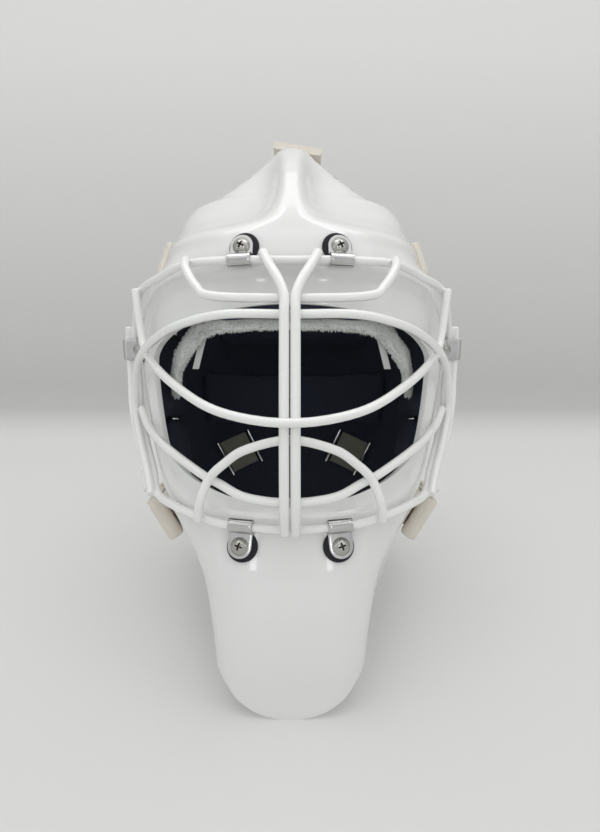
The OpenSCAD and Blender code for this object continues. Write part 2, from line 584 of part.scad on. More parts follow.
// The top strap lies on the ridge, a little askew, and runs down the back plate
slack = 0.3;
over = height(ridge_top) + strap_gap + top_t / 2 + slack;
top_out = top_t / 2 / 0.82 + strap_gap;
top_ridge = [[-3, over], [10, over], [23, over], [34, over - 3], [45, over - 9.5], [55, over - 18],
    [64, over - 27.5]];
top_skew = [cos(top_roll), 0, -sin(top_roll)];
top_stops = concat([for (p = top_ridge) [[top_x, p[0], p[1]], top_skew]],
    [for (w = [367, 356, 345, 334]) let (p = on_plate(w, 0, top_out)[0]) [p + [top_x, 0, 0], [1, 0, 0]]]);
module top_strap() { color(webbing) stand() tape(top_stops, top_w, top_t); }

// A side strap is folded on itself at its slot, then runs back to the back plate
near = side_t / 2 + strap_gap + slack;
pitch = side_t + fold_gap;
function turn_back(w, c, off, reach) = [for (a = [-60, 0, 60])
    on_shell(w, c + reach * cos(a), off + pitch / 2 * (1 + sin(a)))];
function out_of_slot(slot, off, way) = let (w = slot[0], c = slot[1], r = off - slack,
    column = norm(skin(w, 3) - skin(w, 2)))
    concat([for (d = [-9, -4, slack]) on_shell(w, c, d)],
        [for (a = [30, 60]) on_shell(w, c + way * r * (1 - cos(a)) / column, slack + r * sin(a))],
        [on_shell(w, c + way * r / column, off)]);
upper_plate = [for (u = [0.95, 0.82, 0.7, 0.58]) on_plate(302, u, near + 0.4)];
upper_first = on_shell(upper_w, 2.9, near + pitch - 4);
upper_stops = concat(out_of_slot(upper_slot, near, -1), [for (c = [2.12, 2]) on_shell(upper_w, c, near)],
    turn_back(upper_w, 1.97, near, -0.05),
    [for (c = [2, 2.2, 2.45, 2.7]) on_shell(upper_w, c, near + pitch - (c - 2) * 4)], [upper_first],
    [between(upper_first, upper_plate[0], 0.55, [3, 0, 0])], upper_plate);
lower_plate = [for (u = [0.95, 0.82, 0.68, 0.54]) on_plate(120, u, near + 0.4)];
lower_first = on_shell(lower_w, 2.92, near + 2 * pitch - 8);
jaw_near = near + 1.3;
lower_stops = concat(out_of_slot(lower_slot, jaw_near, 1),
    [for (c = [2.3, 2.48]) on_shell(lower_w, c, jaw_near)],
    turn_back(lower_w, 2.5, jaw_near, 0.04),
    [for (c = [2.48, 2.3, 2.17]) on_shell(lower_w, c, jaw_near + pitch)],
    turn_back(lower_w, 2.15, jaw_near + pitch, -0.04),
    [for (c = [2.17, 2.35, 2.55, 2.75]) on_shell(lower_w, c, jaw_near + 2 * pitch - (c - 2.17) * 10)],
    [lower_first], [between(lower_first, lower_plate[0], 0.5, [3, 0, 0])], lower_plate);
module upper_strap(side) {
    color(webbing) stand() mirror([side < 0 ? 1 : 0, 0, 0]) tape(upper_stops, upper_strap_w, side_t);
}
module lower_strap(side) {
    color(webbing) stand() mirror([side < 0 ? 1 : 0, 0, 0]) tape(lower_stops, side_w, side_t);
}

// Rivets that hold the straps: a domed head lying on the strap
rivet_h = 2;
rivet_gap = 0.15;
module seated(p, n) { translate(p) rotate([0, acos(n[2]), atan2(n[1], n[0])]) children(); }
module rivet_head() {
    rotate_extrude($fn = 40) polygon([[0, 0], [rivet_d / 2, 0], [rivet_d / 2 - 0.5, rivet_h * 0.6],
        [rivet_d / 4, rivet_h], [0, rivet_h]]);
}
function strap_normal(stops, i) = unit(cross(stops[i + 1][0] - stops[i - 1][0], stops[i][1]));
module rivet_on(stops, i, t) {
    n = strap_normal(stops, i);
    seated(stops[i][0] + n * (t / 2 + rivet_gap), n) rivet_head();
}
// The rivet on the back plate reaches furthest back
function rivet_reach(stops, i, t) = let (n = strap_normal(stops, i), back = leaned(n)[1])
    leaned(stops[i][0] + n * (t / 2 + rivet_gap + rivet_h))[1] + rivet_d / 4 * sqrt(1 - back * back);
rearmost = rivet_reach(reversed(top_stops), 1, top_t);
module ridge_rivet() { color(steel) stand() rivet_on(reversed(top_stops), len(top_stops) - 2, top_t); }
module plate_rivets() {
    color(steel) stand() {
        rivet_on(reversed(top_stops), 1, top_t);
        for (side = sides) mirror([side < 0 ? 1 : 0, 0, 0]) for (s = [upper_stops, lower_stops])
            rivet_on(s, len(s) - 2, side_t);
    }
}

// Keeper tapes inside the back plate, a little turned, each held at its two ends by a steel rod
keeper_at = [153, 0.388];
keeper_turn = 20;
keeper_gap = 0.9;
keeper_t = 1.5;
keeper_long = 31;
keeper_mm = 143;
function keeper_point(s, t, d) = plate_point(keeper_at[0] - s * sin(keeper_turn) + t * cos(keeper_turn),
    keeper_at[1] + (s * cos(keeper_turn) + t * sin(keeper_turn)) / keeper_mm, d);
module keeper(side) {
    ss = [for (i = [2:-1:-2]) i * keeper_long / 4];
    ts = [-keeper_w / 2, keeper_w / 2];
    color([0.35, 0.35, 0.31]) stand() mirror([side < 0 ? 1 : 0, 0, 0])
        wall_grid([for (t = ts) for (s = ss) keeper_point(s, t, plate_t + keeper_gap)],
            [for (t = ts) for (s = ss) keeper_point(s, t, plate_t + keeper_gap + keeper_t)], 2, len(ss),
            [for (i = [0, 1]) [for (s = ss) false]]);
}
module strap_slides() {
    depth = plate_t + rod_d / 2 + 0.8;
    reach = keeper_long / 2 + rod_d / 2 + 1.8;
    color(steel) stand() for (side = sides) mirror([side < 0 ? 1 : 0, 0, 0]) for (s = [-reach, reach]) {
        a = keeper_point(s, -keeper_w / 2 - 2, depth);
        b = keeper_point(s, keeper_w / 2 + 2, depth);
        seated(a, unit(b - a)) cylinder(h = norm(b - a), r = rod_d / 2, $fn = 24);
    }
}

shell();
cage_rim();
cage_eye_loop();
cage_smile_bar();
cage_lower_bar();
cage_arch_bar();
cage_brow_bar();
cage_centre(-1);  // cage_centre_left
cage_centre(1);  // cage_centre_right
cage_brace(-1);  // cage_brace_left
cage_brace(1);  // cage_brace_right
placed_clip(top_seat, -1);  // clip_top_left
placed_clip(top_seat, 1);  // clip_top_right
placed_clip(bottom_seat, -1);  // clip_bottom_left
placed_clip(bottom_seat, 1);  // clip_bottom_right
placed_clip(side_seat, -1);  // clip_side_left
placed_clip(side_seat, 1);  // clip_side_right
clip_washers();
clip_screws();
clip_nuts();
forehead_pad();
sweatband();
sweatband_tabs();
temple_pad(-1);  // temple_pad_left
temple_pad(1);  // temple_pad_right
cheek_pad(-1);  // cheek_pad_left
cheek_pad(1);  // cheek_pad_right
jaw_pad(-1);  // jaw_pad_left
jaw_pad(1);  // jaw_pad_right
crown_pad(-1);  // crown_pad_left
crown_pad(1);  // crown_pad_right
chin_cup();
chin_strap(-1);  // chin_strap_left
chin_strap(1);  // chin_strap_right
chin_snaps();
back_plate();
back_pad_upper();
back_pad_lower();
top_strap();
ridge_rivet();
upper_strap(-1);  // upper_strap_left
upper_strap(1);  // upper_strap_right
lower_strap(-1);  // lower_strap_left
lower_strap(1);  // lower_strap_right
plate_rivets();
keeper(-1);  // keeper_left
keeper(1);  // keeper_right
strap_slides();
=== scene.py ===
import math

import bpy
import numpy as np
from mathutils import Matrix, Vector
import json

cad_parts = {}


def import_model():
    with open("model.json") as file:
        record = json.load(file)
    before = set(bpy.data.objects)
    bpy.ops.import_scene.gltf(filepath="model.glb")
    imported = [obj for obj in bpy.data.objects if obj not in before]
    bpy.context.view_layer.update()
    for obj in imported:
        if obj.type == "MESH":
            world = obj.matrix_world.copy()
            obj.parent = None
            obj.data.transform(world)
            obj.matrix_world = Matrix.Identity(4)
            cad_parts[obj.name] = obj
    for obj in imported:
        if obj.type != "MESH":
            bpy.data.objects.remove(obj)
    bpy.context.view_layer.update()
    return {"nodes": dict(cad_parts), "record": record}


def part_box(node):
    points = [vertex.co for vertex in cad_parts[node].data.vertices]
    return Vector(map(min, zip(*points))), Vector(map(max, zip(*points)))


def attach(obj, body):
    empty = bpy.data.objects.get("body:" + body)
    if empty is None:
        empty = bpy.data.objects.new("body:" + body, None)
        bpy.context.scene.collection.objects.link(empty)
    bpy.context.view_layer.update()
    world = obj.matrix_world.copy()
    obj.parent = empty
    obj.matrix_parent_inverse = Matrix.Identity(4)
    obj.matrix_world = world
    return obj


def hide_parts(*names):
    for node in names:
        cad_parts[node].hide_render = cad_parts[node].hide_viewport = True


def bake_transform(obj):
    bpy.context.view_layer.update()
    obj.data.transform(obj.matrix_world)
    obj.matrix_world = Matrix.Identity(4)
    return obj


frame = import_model()
scene = bpy.context.scene
scene.view_settings.view_transform = "Standard"


# small helpers for operators
def pickOnly(*pieces):
    if bpy.context.object and bpy.context.object.mode != "OBJECT":
        bpy.ops.object.mode_set(mode="OBJECT")
    bpy.ops.object.select_all(action="DESELECT")
    for piece in pieces:
        piece.select_set(True)
    bpy.context.view_layer.objects.active = pieces[-1]


def named(piece, name):
    piece.name = piece.data.name = name
    return piece


def added(name):
    return named(bpy.context.object, name)


def fresh(name, operator, **values):
    # a new piece from a primitive, with nothing else selected
    bpy.ops.object.select_all(action="DESELECT")
    operator(**values)
    return added(name)


def editAll(piece, *steps):
    # run edit-mode operators on the whole mesh
    pickOnly(piece)
    bpy.ops.object.mode_set(mode="EDIT")
    bpy.ops.mesh.select_all(action="SELECT")
    for step, values in steps:
        step(**values)
    bpy.ops.object.mode_set(mode="OBJECT")


def applied(piece, kind, **values):
    pickOnly(piece)
    modifier = piece.modifiers.new(kind.title(), kind)
    for key, value in values.items():
        setattr(modifier, key, value)
    bpy.ops.object.modifier_apply(modifier=modifier.name)
    return piece


def joined(name, pieces):
    pickOnly(*pieces)
    if len(pieces) > 1:
        bpy.ops.object.join()
    return added(name)


def copied(piece, matrix):
    pickOnly(piece)
    bpy.ops.object.duplicate()
    twin = bpy.context.object
    twin.data.transform(matrix)
    if matrix.determinant() < 0:
        twin.data.flip_normals()
    return twin


def bothHands(piece, name):
    # the piece is the right one, and its mirror image the left one
    left = named(copied(piece, flipX), name + "Left")
    return left, named(piece, name + "Right")


def atBoth(piece, place):
    # a copy at the place and one at its mirror image
    return [copied(piece, place), copied(piece, flipX @ place)]


def rounded(piece, width, segments=2, degrees=60):
    return applied(piece, "BEVEL", width=width, segments=segments, limit_method="ANGLE",
                   angle_limit=math.radians(degrees))


def smoothed(piece, degrees=40):
    pickOnly(piece)
    bpy.ops.object.shade_smooth_by_angle(angle=math.radians(degrees))
    return piece


def pointsOf(piece):
    flat = np.empty(len(piece.data.vertices) * 3)
    piece.data.vertices.foreach_get("co", flat)
    return flat.reshape(-1, 3)


def faceNormals(piece):
    flat = np.empty(len(piece.data.polygons) * 3)
    piece.data.polygons.foreach_get("normal", flat)
    return flat.reshape(-1, 3)


def movePoints(piece, points):
    piece.data.vertices.foreach_set("co", np.ascontiguousarray(points, float).ravel())
    piece.data.update()


def gridPiece(name, points, across=None, along=None):
    # a grid whose vertices are set row by row, with its UVs in metres
    rows, cols = points.shape[:2]
    piece = fresh(name, bpy.ops.mesh.primitive_grid_add, x_subdivisions=cols - 1, y_subdivisions=rows - 1, size=1)
    flat = pointsOf(piece)
    col = np.rint((flat[:, 0] + 0.5) * (cols - 1)).astype(int)
    row = np.rint((flat[:, 1] + 0.5) * (rows - 1)).astype(int)
    movePoints(piece, points[row, col])
    if across is not None:
        corner = np.empty(len(piece.data.loops), int)
        piece.data.loops.foreach_get("vertex_index", corner)
        uv = np.stack([across[row[corner], col[corner]], along[row[corner], col[corner]]], 1)
        piece.data.uv_layers.active.data.foreach_set("uv", uv.ravel())
    return piece


def turned(name, profile, steps=48, ring=False):
    # ring by ring, as on a lathe: profile holds (radius, height) from the top down, and a ring
    # comes back to where it starts
    (r0, z0), rest = profile[0], profile[1:]
    piece = fresh(name, bpy.ops.mesh.primitive_circle_add, vertices=steps, radius=r0, location=(0, 0, z0),
                  fill_type="NOTHING" if ring else "TRIFAN")
    bpy.ops.object.transform_apply(location=True, rotation=False, scale=False)
    bpy.ops.object.mode_set(mode="EDIT")
    bpy.ops.mesh.select_all(action="DESELECT")
    bpy.ops.mesh.select_mode(type="EDGE")
    bpy.ops.object.mode_set(mode="OBJECT")
    corners = piece.data.vertices
    for edge in piece.data.edges:
        edge.select = all(abs(corners[i].co.xy.length - r0) < r0 * 1e-3 for i in edge.vertices)
    bpy.ops.object.mode_set(mode="EDIT")
    last = (r0, z0)
    for r, z in rest:
        bpy.ops.mesh.extrude_edges_move()
        bpy.ops.transform.translate(value=(0, 0, z - last[1]))
        ratio = r / last[0]
        bpy.ops.transform.resize(value=(ratio, ratio, 1), center_override=(0, 0, z))
        last = (r, z)
    if not ring:
        bpy.ops.mesh.edge_face_add()
    bpy.ops.mesh.select_mode(type="VERT")
    bpy.ops.mesh.select_all(action="SELECT")
    bpy.ops.mesh.remove_doubles(threshold=1e-5)
    bpy.ops.mesh.normals_make_consistent(inside=False)
    bpy.ops.object.mode_set(mode="OBJECT")
    return piece


# the mask's own frame: millimetres, leaned back into the row frame in metres
stance = {"lean": math.radians(17), "footCut": 0.6}
# the recess fades in and out between these rows and columns; the rim of the opening lies within rimReach
wall = {"thick": 4.0, "recess": 4.0, "edge": 1.2, "rows": (36, 7, 40, 11, 12, 50), "halfColumns": (44, 46, 22),
        "fadeFoot": (1.02, 1.45), "fadeHead": (3.78, 4.02), "fadeSide": (1.03, 1.13), "rimReach": (0.11, 0.29, 0.03),
        "rimTurns": 14, "sharp": 55, "sharpBelow": 0.325}

# height, front, half width where widest, where that is, half width at the rear edge, rear edge,
# squareness, share that the face opening takes, how far the ridge stands out, half its width
sections = np.array([
    [-8, -130, 45, -104, 72, 18, 3.6, 0.72, 0, 60], [12, -133, 46, -104, 75, 18, 3.6, 0.72, 0, 60],
    [30, -136, 48, -104, 78, 18, 3.6, 0.72, 0, 60], [55, -138, 51, -102, 82, 18, 3.6, 0.72, 0, 60],
    [86, -138, 58, -92, 87, 20, 3.4, 0.73, 0, 60], [105, -135, 69, -76, 92, 24, 3.1, 0.745, 0, 60],
    [125, -131.5, 85, -50, 98, 28, 2.8, 0.775, 0, 60], [150, -129, 100, -22, 104, 32, 2.5, 0.84, 0, 60],
    [180, -128, 110, -2, 109, 36, 2.4, 0.868, 0, 60], [230, -126, 118, 6, 116, 40, 2.4, 0.862, 0, 60],
    [262, -125, 119, 8, 116, 40, 2.4, 0.83, 0, 60], [288, -125, 108, 8, 108, 40, 2.5, 0.785, 0, 60],
    [300, -122.5, 98, 8, 95.5, 40, 2.6, 0.76, 0.5, 58], [308, -115, 96, 7, 93.5, 39, 2.8, 0.75, 5, 50],
    [316, -104, 93.5, 6, 91, 39, 2.7, 0.74, 13, 24], [326, -88, 90.5, 5, 87.5, 38, 2.6, 0.72, 24, 16],
    [338, -70, 87.5, 4, 84.5, 37, 2.6, 0.7, 34.5, 13], [347, -58, 84, 4, 81, 36, 2.5, 0.68, 40, 12.5],
    [351.5, -53, 79.5, 4, 77.5, 35, 2.45, 0.67, 42.5, 12], [355, -49.5, 70.5, 4, 69.5, 35, 2.4, 0.67, 43, 12],
    [367, -41, 53, 4, 52, 34, 2.3, 0.64, 39, 12], [384, -34, 29, 5, 29, 31, 2.3, 0.6, 22, 13],
    [394, -27, 16.5, 7, 16.5, 28, 2.2, 0.55, 9, 13], [400, -14, 9, 9, 9, 25, 2.1, 0.5, 2, 12],
    [403, -3, 4.5, 10, 4.5, 24, 2, 0.5, 0, 12]])
# column; jaw edge, foot of recess, foot and head of the opening, head of recess, forehead top
keyLines = np.array([
    [-0.45, 1.4, 124.5, 136, 256, 281, 300], [0, -1, 124, 134.5, 259.6, 281, 300],
    [0.45, 1.4, 124.5, 136, 256, 281, 300], [0.72, 5, 127.3, 143.4, 249, 280.4, 300],
    [0.9, 9, 131.9, 152, 241.3, 279.3, 300], [1, 11.5, 137.6, 161.5, 233.5, 277.4, 300],
    [1.4, 24, 150.6, 168, 231, 271.3, 299], [2, 36, 160, 176, 228, 266, 298], [3, 82, 160, 176, 228, 264, 298]])
# height, half width, depth behind the side edges, how far round in degrees
plateRows = np.array([
    [70, 66, 62, 38], [78, 70, 64, 62], [95, 78, 67, 78], [130, 94, 68, 87], [180, 106, 67, 90],
    [230, 111, 64, 90], [280, 105, 57, 88], [315, 91, 47, 83], [345, 74, 35, 73], [362, 62, 24, 60],
    [370, 58, 18, 48]])
plateY = 50.0


def at(table, s):
    x = table[:, 0]
    s = np.asarray(s, float)
    i = np.clip(np.searchsorted(x, s, side="right") - 1, 0, len(x) - 2)
    before = np.maximum(np.arange(len(x)) - 1, 0)
    after = np.minimum(np.arange(len(x)) + 1, len(x) - 1)
    slope = (table[after] - table[before]) / (x[after] - x[before])[:, None]
    h = x[i + 1] - x[i]
    u = np.clip((s - x[i]) / h, 0, 1)
    v = u * u * (3 - 2 * u)
    u, v, h = u[..., None], v[..., None], h[..., None]
    return table[i] * (1 - v) + table[i + 1] * v + h * u * (1 - u) * ((1 - u) * slope[i] - u * slope[i + 1])


def skin(w, c):
    w, c = np.broadcast_arrays(np.asarray(w, float), np.asarray(c, float))
    s = at(sections, w)
    a = np.abs(c)
    n = s[..., 6]
    low = np.arcsin(s[..., 7] ** (n / 2))
    turn = np.clip(low + (math.pi / 2 - low) * (a - 1), 0, math.pi / 2)
    run = np.clip(a - 2, 0, 1)
    sx = np.where(a <= 1, a * s[..., 7], np.where(a < 2, np.sin(turn) ** (2 / n), 1))
    sy = np.where(a <= 1, np.clip(1 - sx ** n, 0, 1) ** (1 / n), np.where(a < 2, np.cos(turn) ** (2 / n), 0))
    x = np.where(a <= 2, s[..., 2] * sx, s[..., 2] + (s[..., 4] - s[..., 2]) * run ** 1.3)
    y = np.where(a <= 2, s[..., 3] - (s[..., 3] - s[..., 1]) * sy, s[..., 3] + (s[..., 5] - s[..., 3]) * run)
    return np.stack([np.sign(c) * x, y - s[..., 8] / (1 + (x / s[..., 9]) ** 4), w], -1)


def unit(v):
    return v / np.linalg.norm(v, axis=-1, keepdims=True)


def outward(w, c):
    w, c = np.asarray(w, float), np.asarray(c, float)
    return unit(np.cross(skin(w, c + 0.02) - skin(w, c - 0.02), skin(w + 0.2, c) - skin(w - 0.2, c)))


def platePoint(w, u, d):
    s = at(plateRows, w)
    a = np.radians(u * s[..., 3])
    return np.stack([(s[..., 1] - d) * np.sin(a), plateY + (s[..., 2] - d) * np.cos(a), w + 0 * a], -1)


def leanOnly(p):
    p = np.asarray(p, float)
    k, q = math.cos(stance["lean"]), math.sin(stance["lean"])
    return np.stack([p[..., 0], p[..., 1] * k + p[..., 2] * q, p[..., 2] * k - p[..., 1] * q], -1)


plateStations = np.array([70, 74, 80, 90, 105, 130, 155, 180, 205, 230, 255, 280, 300, 318, 335, 350, 362, 370.0])
shiftY = leanOnly(platePoint(plateStations, 0.0, 0.0))[:, 1].max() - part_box("back_plate")[1].y * 1000
floorZ = leanOnly(skin(-1, 0))[2] + stance["footCut"]


def world(p):
    return (leanOnly(p) - [0, shiftY, floorZ]) / 1000


standing = (Matrix.Scale(0.001, 4) @ Matrix.Translation((0, -shiftY, -floorZ))
            @ Matrix.Rotation(-stance["lean"], 4, "X"))
flipX = Matrix.Scale(-1, 4, (1, 0, 0))


def facing(place, up, turn=0.0):
    # from a piece modelled in millimetres on the origin to its place on the mask, +Z along up
    n = unit(np.asarray(up, float))
    return (standing @ Matrix.Translation(Vector(place)) @ Matrix.Rotation(math.atan2(n[0], -n[1]), 4, "Z")
            @ Matrix.Rotation(math.acos(max(-1, min(1, n[2]))), 4, "X") @ Matrix.Rotation(math.radians(turn), 4, "Z"))


def onSkin(w, c, turn=0.0):
    return facing(skin(w, c), outward(w, c), turn)


print("stance: shift %.2f mm, floor %.2f mm" % (shiftY, floorZ))


# camera at the photograph's place, lamps and the pale sweep behind
lens = {"place": (5.9, -534.0, 188.0), "focal": 28.1, "sensor": 36.0}
bpy.ops.object.camera_add()
camera = added("photoCamera")
camera.location = Vector(world(lens["place"]))
camera.rotation_euler = (math.pi / 2 - stance["lean"], 0, 0)
camera.data.sensor_fit = "AUTO"
camera.data.sensor_width = lens["sensor"]
camera.data.lens = lens["focal"]
camera.data.clip_start = 0.01
scene.camera = camera

# place, aim, size, power, colour
plainLight = (1, 1, 1)
lamps = {
    "overhead": ((0.05, -0.25, 1.4), (0, -0.02, 0.2), (2.2, 1.5), 4.7, (1, 0.995, 0.98)),
    "overLeft": ((-0.28, -0.12, 1.30), (0, 0, 0.2), (0.10, 0.40), 0.45, plainLight),
    "overRight": ((0.30, -0.12, 1.30), (0, 0, 0.2), (0.10, 0.40), 0.45, plainLight),
    "fromLeft": ((-1.15, -0.75, 0.75), (0, 0, 0.16), (0.6, 1.0), 0.55, plainLight),
    "fromRight": ((1.15, -0.7, 0.8), (0, 0, 0.16), (0.6, 1.0), 0.62, (1, 0.99, 0.97)),
    "windowLeft": ((-0.27, -1.05, 0.58), (0, 0, 0.2), (0.09, 0.22), 0.26, plainLight),
    "windowRight": ((0.27, -1.05, 0.58), (0, 0, 0.2), (0.09, 0.22), 0.26, plainLight),
    "front": ((0, -1.45, 0.16), (0, 0, 0.25), (1.3, 0.4), 0.45, plainLight),
    "behind": ((0.0, 0.2, 1.3), (0, 0.35, 0.1), (1.4, 0.5), 2.3, plainLight),
}
for name, (place, aim, size, power, color) in lamps.items():
    bpy.ops.object.light_add(type="AREA", location=place)
    light = added(name)
    light.rotation_euler = (Vector(aim) - Vector(place)).to_track_quat("-Z", "Y").to_euler()
    light.data.shape = "RECTANGLE"
    light.data.size, light.data.size_y = size
    light.data.energy = power
    light.data.color = color

surround = bpy.data.worlds.new("studio")
scene.world = surround
surround.use_nodes = True
sky = surround.node_tree.nodes["Background"].inputs
sky["Color"].default_value = (0.62, 0.63, 0.64, 1)
sky["Strength"].default_value = 1.02


# materials
class Maker:
    # lays out one material or group, node by node
    def __init__(self, tree):
        self.tree = tree
        self.step = 0

    def node(self, kind, **values):
        made = self.tree.nodes.new(kind)
        made.location = (180 * (self.step % 8) - 1400, -220 * (self.step // 8))
        self.step += 1
        for key, value in values.items():
            if hasattr(made, key) and key not in made.inputs:
                setattr(made, key, value)
            else:
                self.feed(made, key, value)
        return made

    def feed(self, made, key, value):
        socket = made.inputs[key]
        if isinstance(value, bpy.types.NodeSocket):
            self.tree.links.new(value, socket)
        elif hasattr(socket.default_value, "__len__") and not hasattr(value, "__len__"):
            socket.default_value = [value] * len(socket.default_value)
        else:
            socket.default_value = value

    def math(self, what, a, b=0.5):
        made = self.node("ShaderNodeMath", operation=what)
        self.feed(made, 0, a)
        self.feed(made, 1, b)
        return made.outputs[0]

    def noise(self, where, scale, detail=3.0, rough=0.55, stretch=None):
        if stretch:
            where = self.node("ShaderNodeMapping", Vector=where, Scale=stretch).outputs[0]
        return self.node("ShaderNodeTexNoise", Vector=where, Scale=scale, Detail=detail,
                         Roughness=rough).outputs["Fac"]

    def ramp(self, value, low, high, dark, light):
        made = self.node("ShaderNodeMapRange", clamp=True)
        for key, entry in zip(("Value", "From Min", "From Max", "To Min", "To Max"), (value, low, high, dark, light)):
            self.feed(made, key, entry)
        return made.outputs[0]

    def mix(self, factor, a, b, blend="MIX"):
        made = self.node("ShaderNodeMix", data_type="RGBA", blend_type=blend)
        self.feed(made, 0, factor)
        self.feed(made, 6, a)
        self.feed(made, 7, b)
        return made.outputs[2]

    def bump(self, height, strength, distance):
        return self.node("ShaderNodeBump", Height=height, Strength=strength, Distance=distance).outputs[0]


def newGroup(name, inputs, outputs):
    group = bpy.data.node_groups.new(name, "ShaderNodeTree")
    for label, kind, value in inputs:
        group.interface.new_socket(name=label, in_out="INPUT", socket_type=kind).default_value = value
    for label, kind in outputs:
        group.interface.new_socket(name=label, in_out="OUTPUT", socket_type=kind)
    maker = Maker(group)
    return group, maker, maker.node("NodeGroupInput"), maker.node("NodeGroupOutput")


def placed(maker, group, **values):
    made = maker.node("ShaderNodeGroup", node_tree=group)
    for key, value in values.items():
        maker.feed(made, key, value)
    return made


# soft, uneven tone of a used surface: slow clouds and fine specks
toneGroup, g, given, out = newGroup(
    "handledTone",
    [("Cloud Size", "NodeSocketFloat", 30.0), ("Speck Size", "NodeSocketFloat", 900.0)],
    [("Clouds", "NodeSocketFloat"), ("Specks", "NodeSocketFloat")])
where = g.node("ShaderNodeTexCoord").outputs["Object"]
clouds = g.noise(where, given.outputs["Cloud Size"], 2)
specks = g.noise(where, given.outputs["Speck Size"], 2, 0.6)
g.tree.links.new(g.ramp(clouds, 0.2, 0.8, 0.0, 1.0), out.inputs["Clouds"])
g.tree.links.new(g.ramp(specks, 0.35, 0.7, 0.0, 1.0), out.inputs["Specks"])

# plain weave on UVs in metres: threads over and under each other
weaveGroup, g, given, out = newGroup(
    "plainWeave", [("Thread", "NodeSocketFloat", 0.0009)], [("Height", "NodeSocketFloat"), ("Gaps", "NodeSocketFloat")])
uv = g.node("ShaderNodeSeparateXYZ", Vector=g.node("ShaderNodeTexCoord").outputs["UV"])
acrossAngle = g.math("DIVIDE", g.math("MULTIPLY", uv.outputs[0], math.pi), given.outputs["Thread"])
alongAngle = g.math("DIVIDE", g.math("MULTIPLY", uv.outputs[1], math.pi), given.outputs["Thread"])
weft = g.math("ABSOLUTE", g.math("SINE", acrossAngle))
warp = g.math("ABSOLUTE", g.math("SINE", alongAngle))
over = g.math("GREATER_THAN", g.math("MULTIPLY", g.math("SINE", acrossAngle), g.math("SINE", alongAngle)), 0.0)
threads = g.math("ADD", g.math("MULTIPLY", weft, over), g.math("MULTIPLY", warp, g.math("SUBTRACT", 1.0, over)))
g.tree.links.new(threads, out.inputs["Height"])
g.tree.links.new(g.ramp(threads, 0.1, 0.5, 1.0, 0.0), out.inputs["Gaps"])


def surface(name, color, roughness, metallic=0.0, **extra):
    made = bpy.data.materials.new(name)
    made.use_nodes = True
    made.diffuse_color = (*color, 1)
    shader = made.node_tree.nodes["Principled BSDF"]
    shader.inputs["Base Color"].default_value = (*color, 1)
    shader.inputs["Roughness"].default_value = roughness
    shader.inputs["Metallic"].default_value = metallic
    for key, value in extra.items():
        shader.inputs[key].default_value = value
    maker = Maker(made.node_tree)
    return made, maker, shader


def glossPaint(name, color, shade, roughness, peel, coat=1.0, coatRough=0.04):
    made, m, shader = surface(name, color, roughness, **{
        "Coat Weight": coat, "Coat Roughness": coatRough, "Specular IOR Level": 0.5})
    tone = placed(m, toneGroup, **{"Cloud Size": 16.0, "Speck Size": 700.0})
    m.feed(shader, "Base Color", m.mix(tone.outputs["Clouds"], (*color, 1), (*shade, 1)))
    m.feed(shader, "Roughness", m.ramp(tone.outputs["Clouds"], 0, 1, roughness * 0.85, roughness * 1.2))
    where = m.node("ShaderNodeTexCoord").outputs["Object"]
    m.feed(shader, "Normal", m.bump(m.noise(where, 420, 2), peel, 0.0004))
    return made


def brushedMetal(name, color, roughness, stretch, scratch):
    made, m, shader = surface(name, color, roughness, 1.0)
    where = m.node("ShaderNodeTexCoord").outputs["Object"]
    lines = m.noise(where, 1500, 3, 0.6, stretch)
    tone = placed(m, toneGroup, **{"Cloud Size": 90.0, "Speck Size": 1600.0})
    dull = tuple(v * 0.72 for v in color)
    m.feed(shader, "Base Color", m.mix(m.math("MULTIPLY", tone.outputs["Clouds"], 0.6), (*color, 1), (*dull, 1)))
    m.feed(shader, "Roughness", m.ramp(lines, 0.3, 0.7, roughness * 0.6, roughness * 1.5))
    m.feed(shader, "Normal", m.bump(lines, scratch, 0.0001))
    return made


def softCover(name, color, light, roughness, size, depth, sheen):
    made, m, shader = surface(name, color, roughness, **{
        "Sheen Weight": sheen, "Sheen Roughness": 0.5, "Specular IOR Level": 0.2})
    tone = placed(m, toneGroup, **{"Cloud Size": 40.0, "Speck Size": size})
    m.feed(shader, "Base Color", m.mix(tone.outputs["Specks"], (*color, 1), (*light, 1)))
    where = m.node("ShaderNodeTexCoord").outputs["Object"]
    m.feed(shader, "Normal", m.bump(m.noise(where, size, 2, 0.7), 0.6, depth))
    return made


def wovenTape(name, color, shade, thread, depth, fuzz):
    made, m, shader = surface(name, color, 0.85, **{"Sheen Weight": 0.35, "Sheen Roughness": 0.5})
    weave = placed(m, weaveGroup, Thread=thread)
    tone = placed(m, toneGroup, **{"Cloud Size": 70.0, "Speck Size": 1300.0})
    mottled = m.mix(m.math("MULTIPLY", tone.outputs["Clouds"], 0.8), (*color, 1), (*shade, 1))
    # the gaps between the threads are darkened: painted shade in the weave
    dark = m.mix(m.math("MULTIPLY", weave.outputs["Gaps"], 0.22), mottled, (*[v * 0.6 for v in shade], 1))
    m.feed(shader, "Base Color", dark)
    height = m.math("ADD", weave.outputs["Height"], m.math("MULTIPLY", tone.outputs["Specks"], fuzz))
    m.feed(shader, "Normal", m.bump(height, 0.8, depth))
    return made


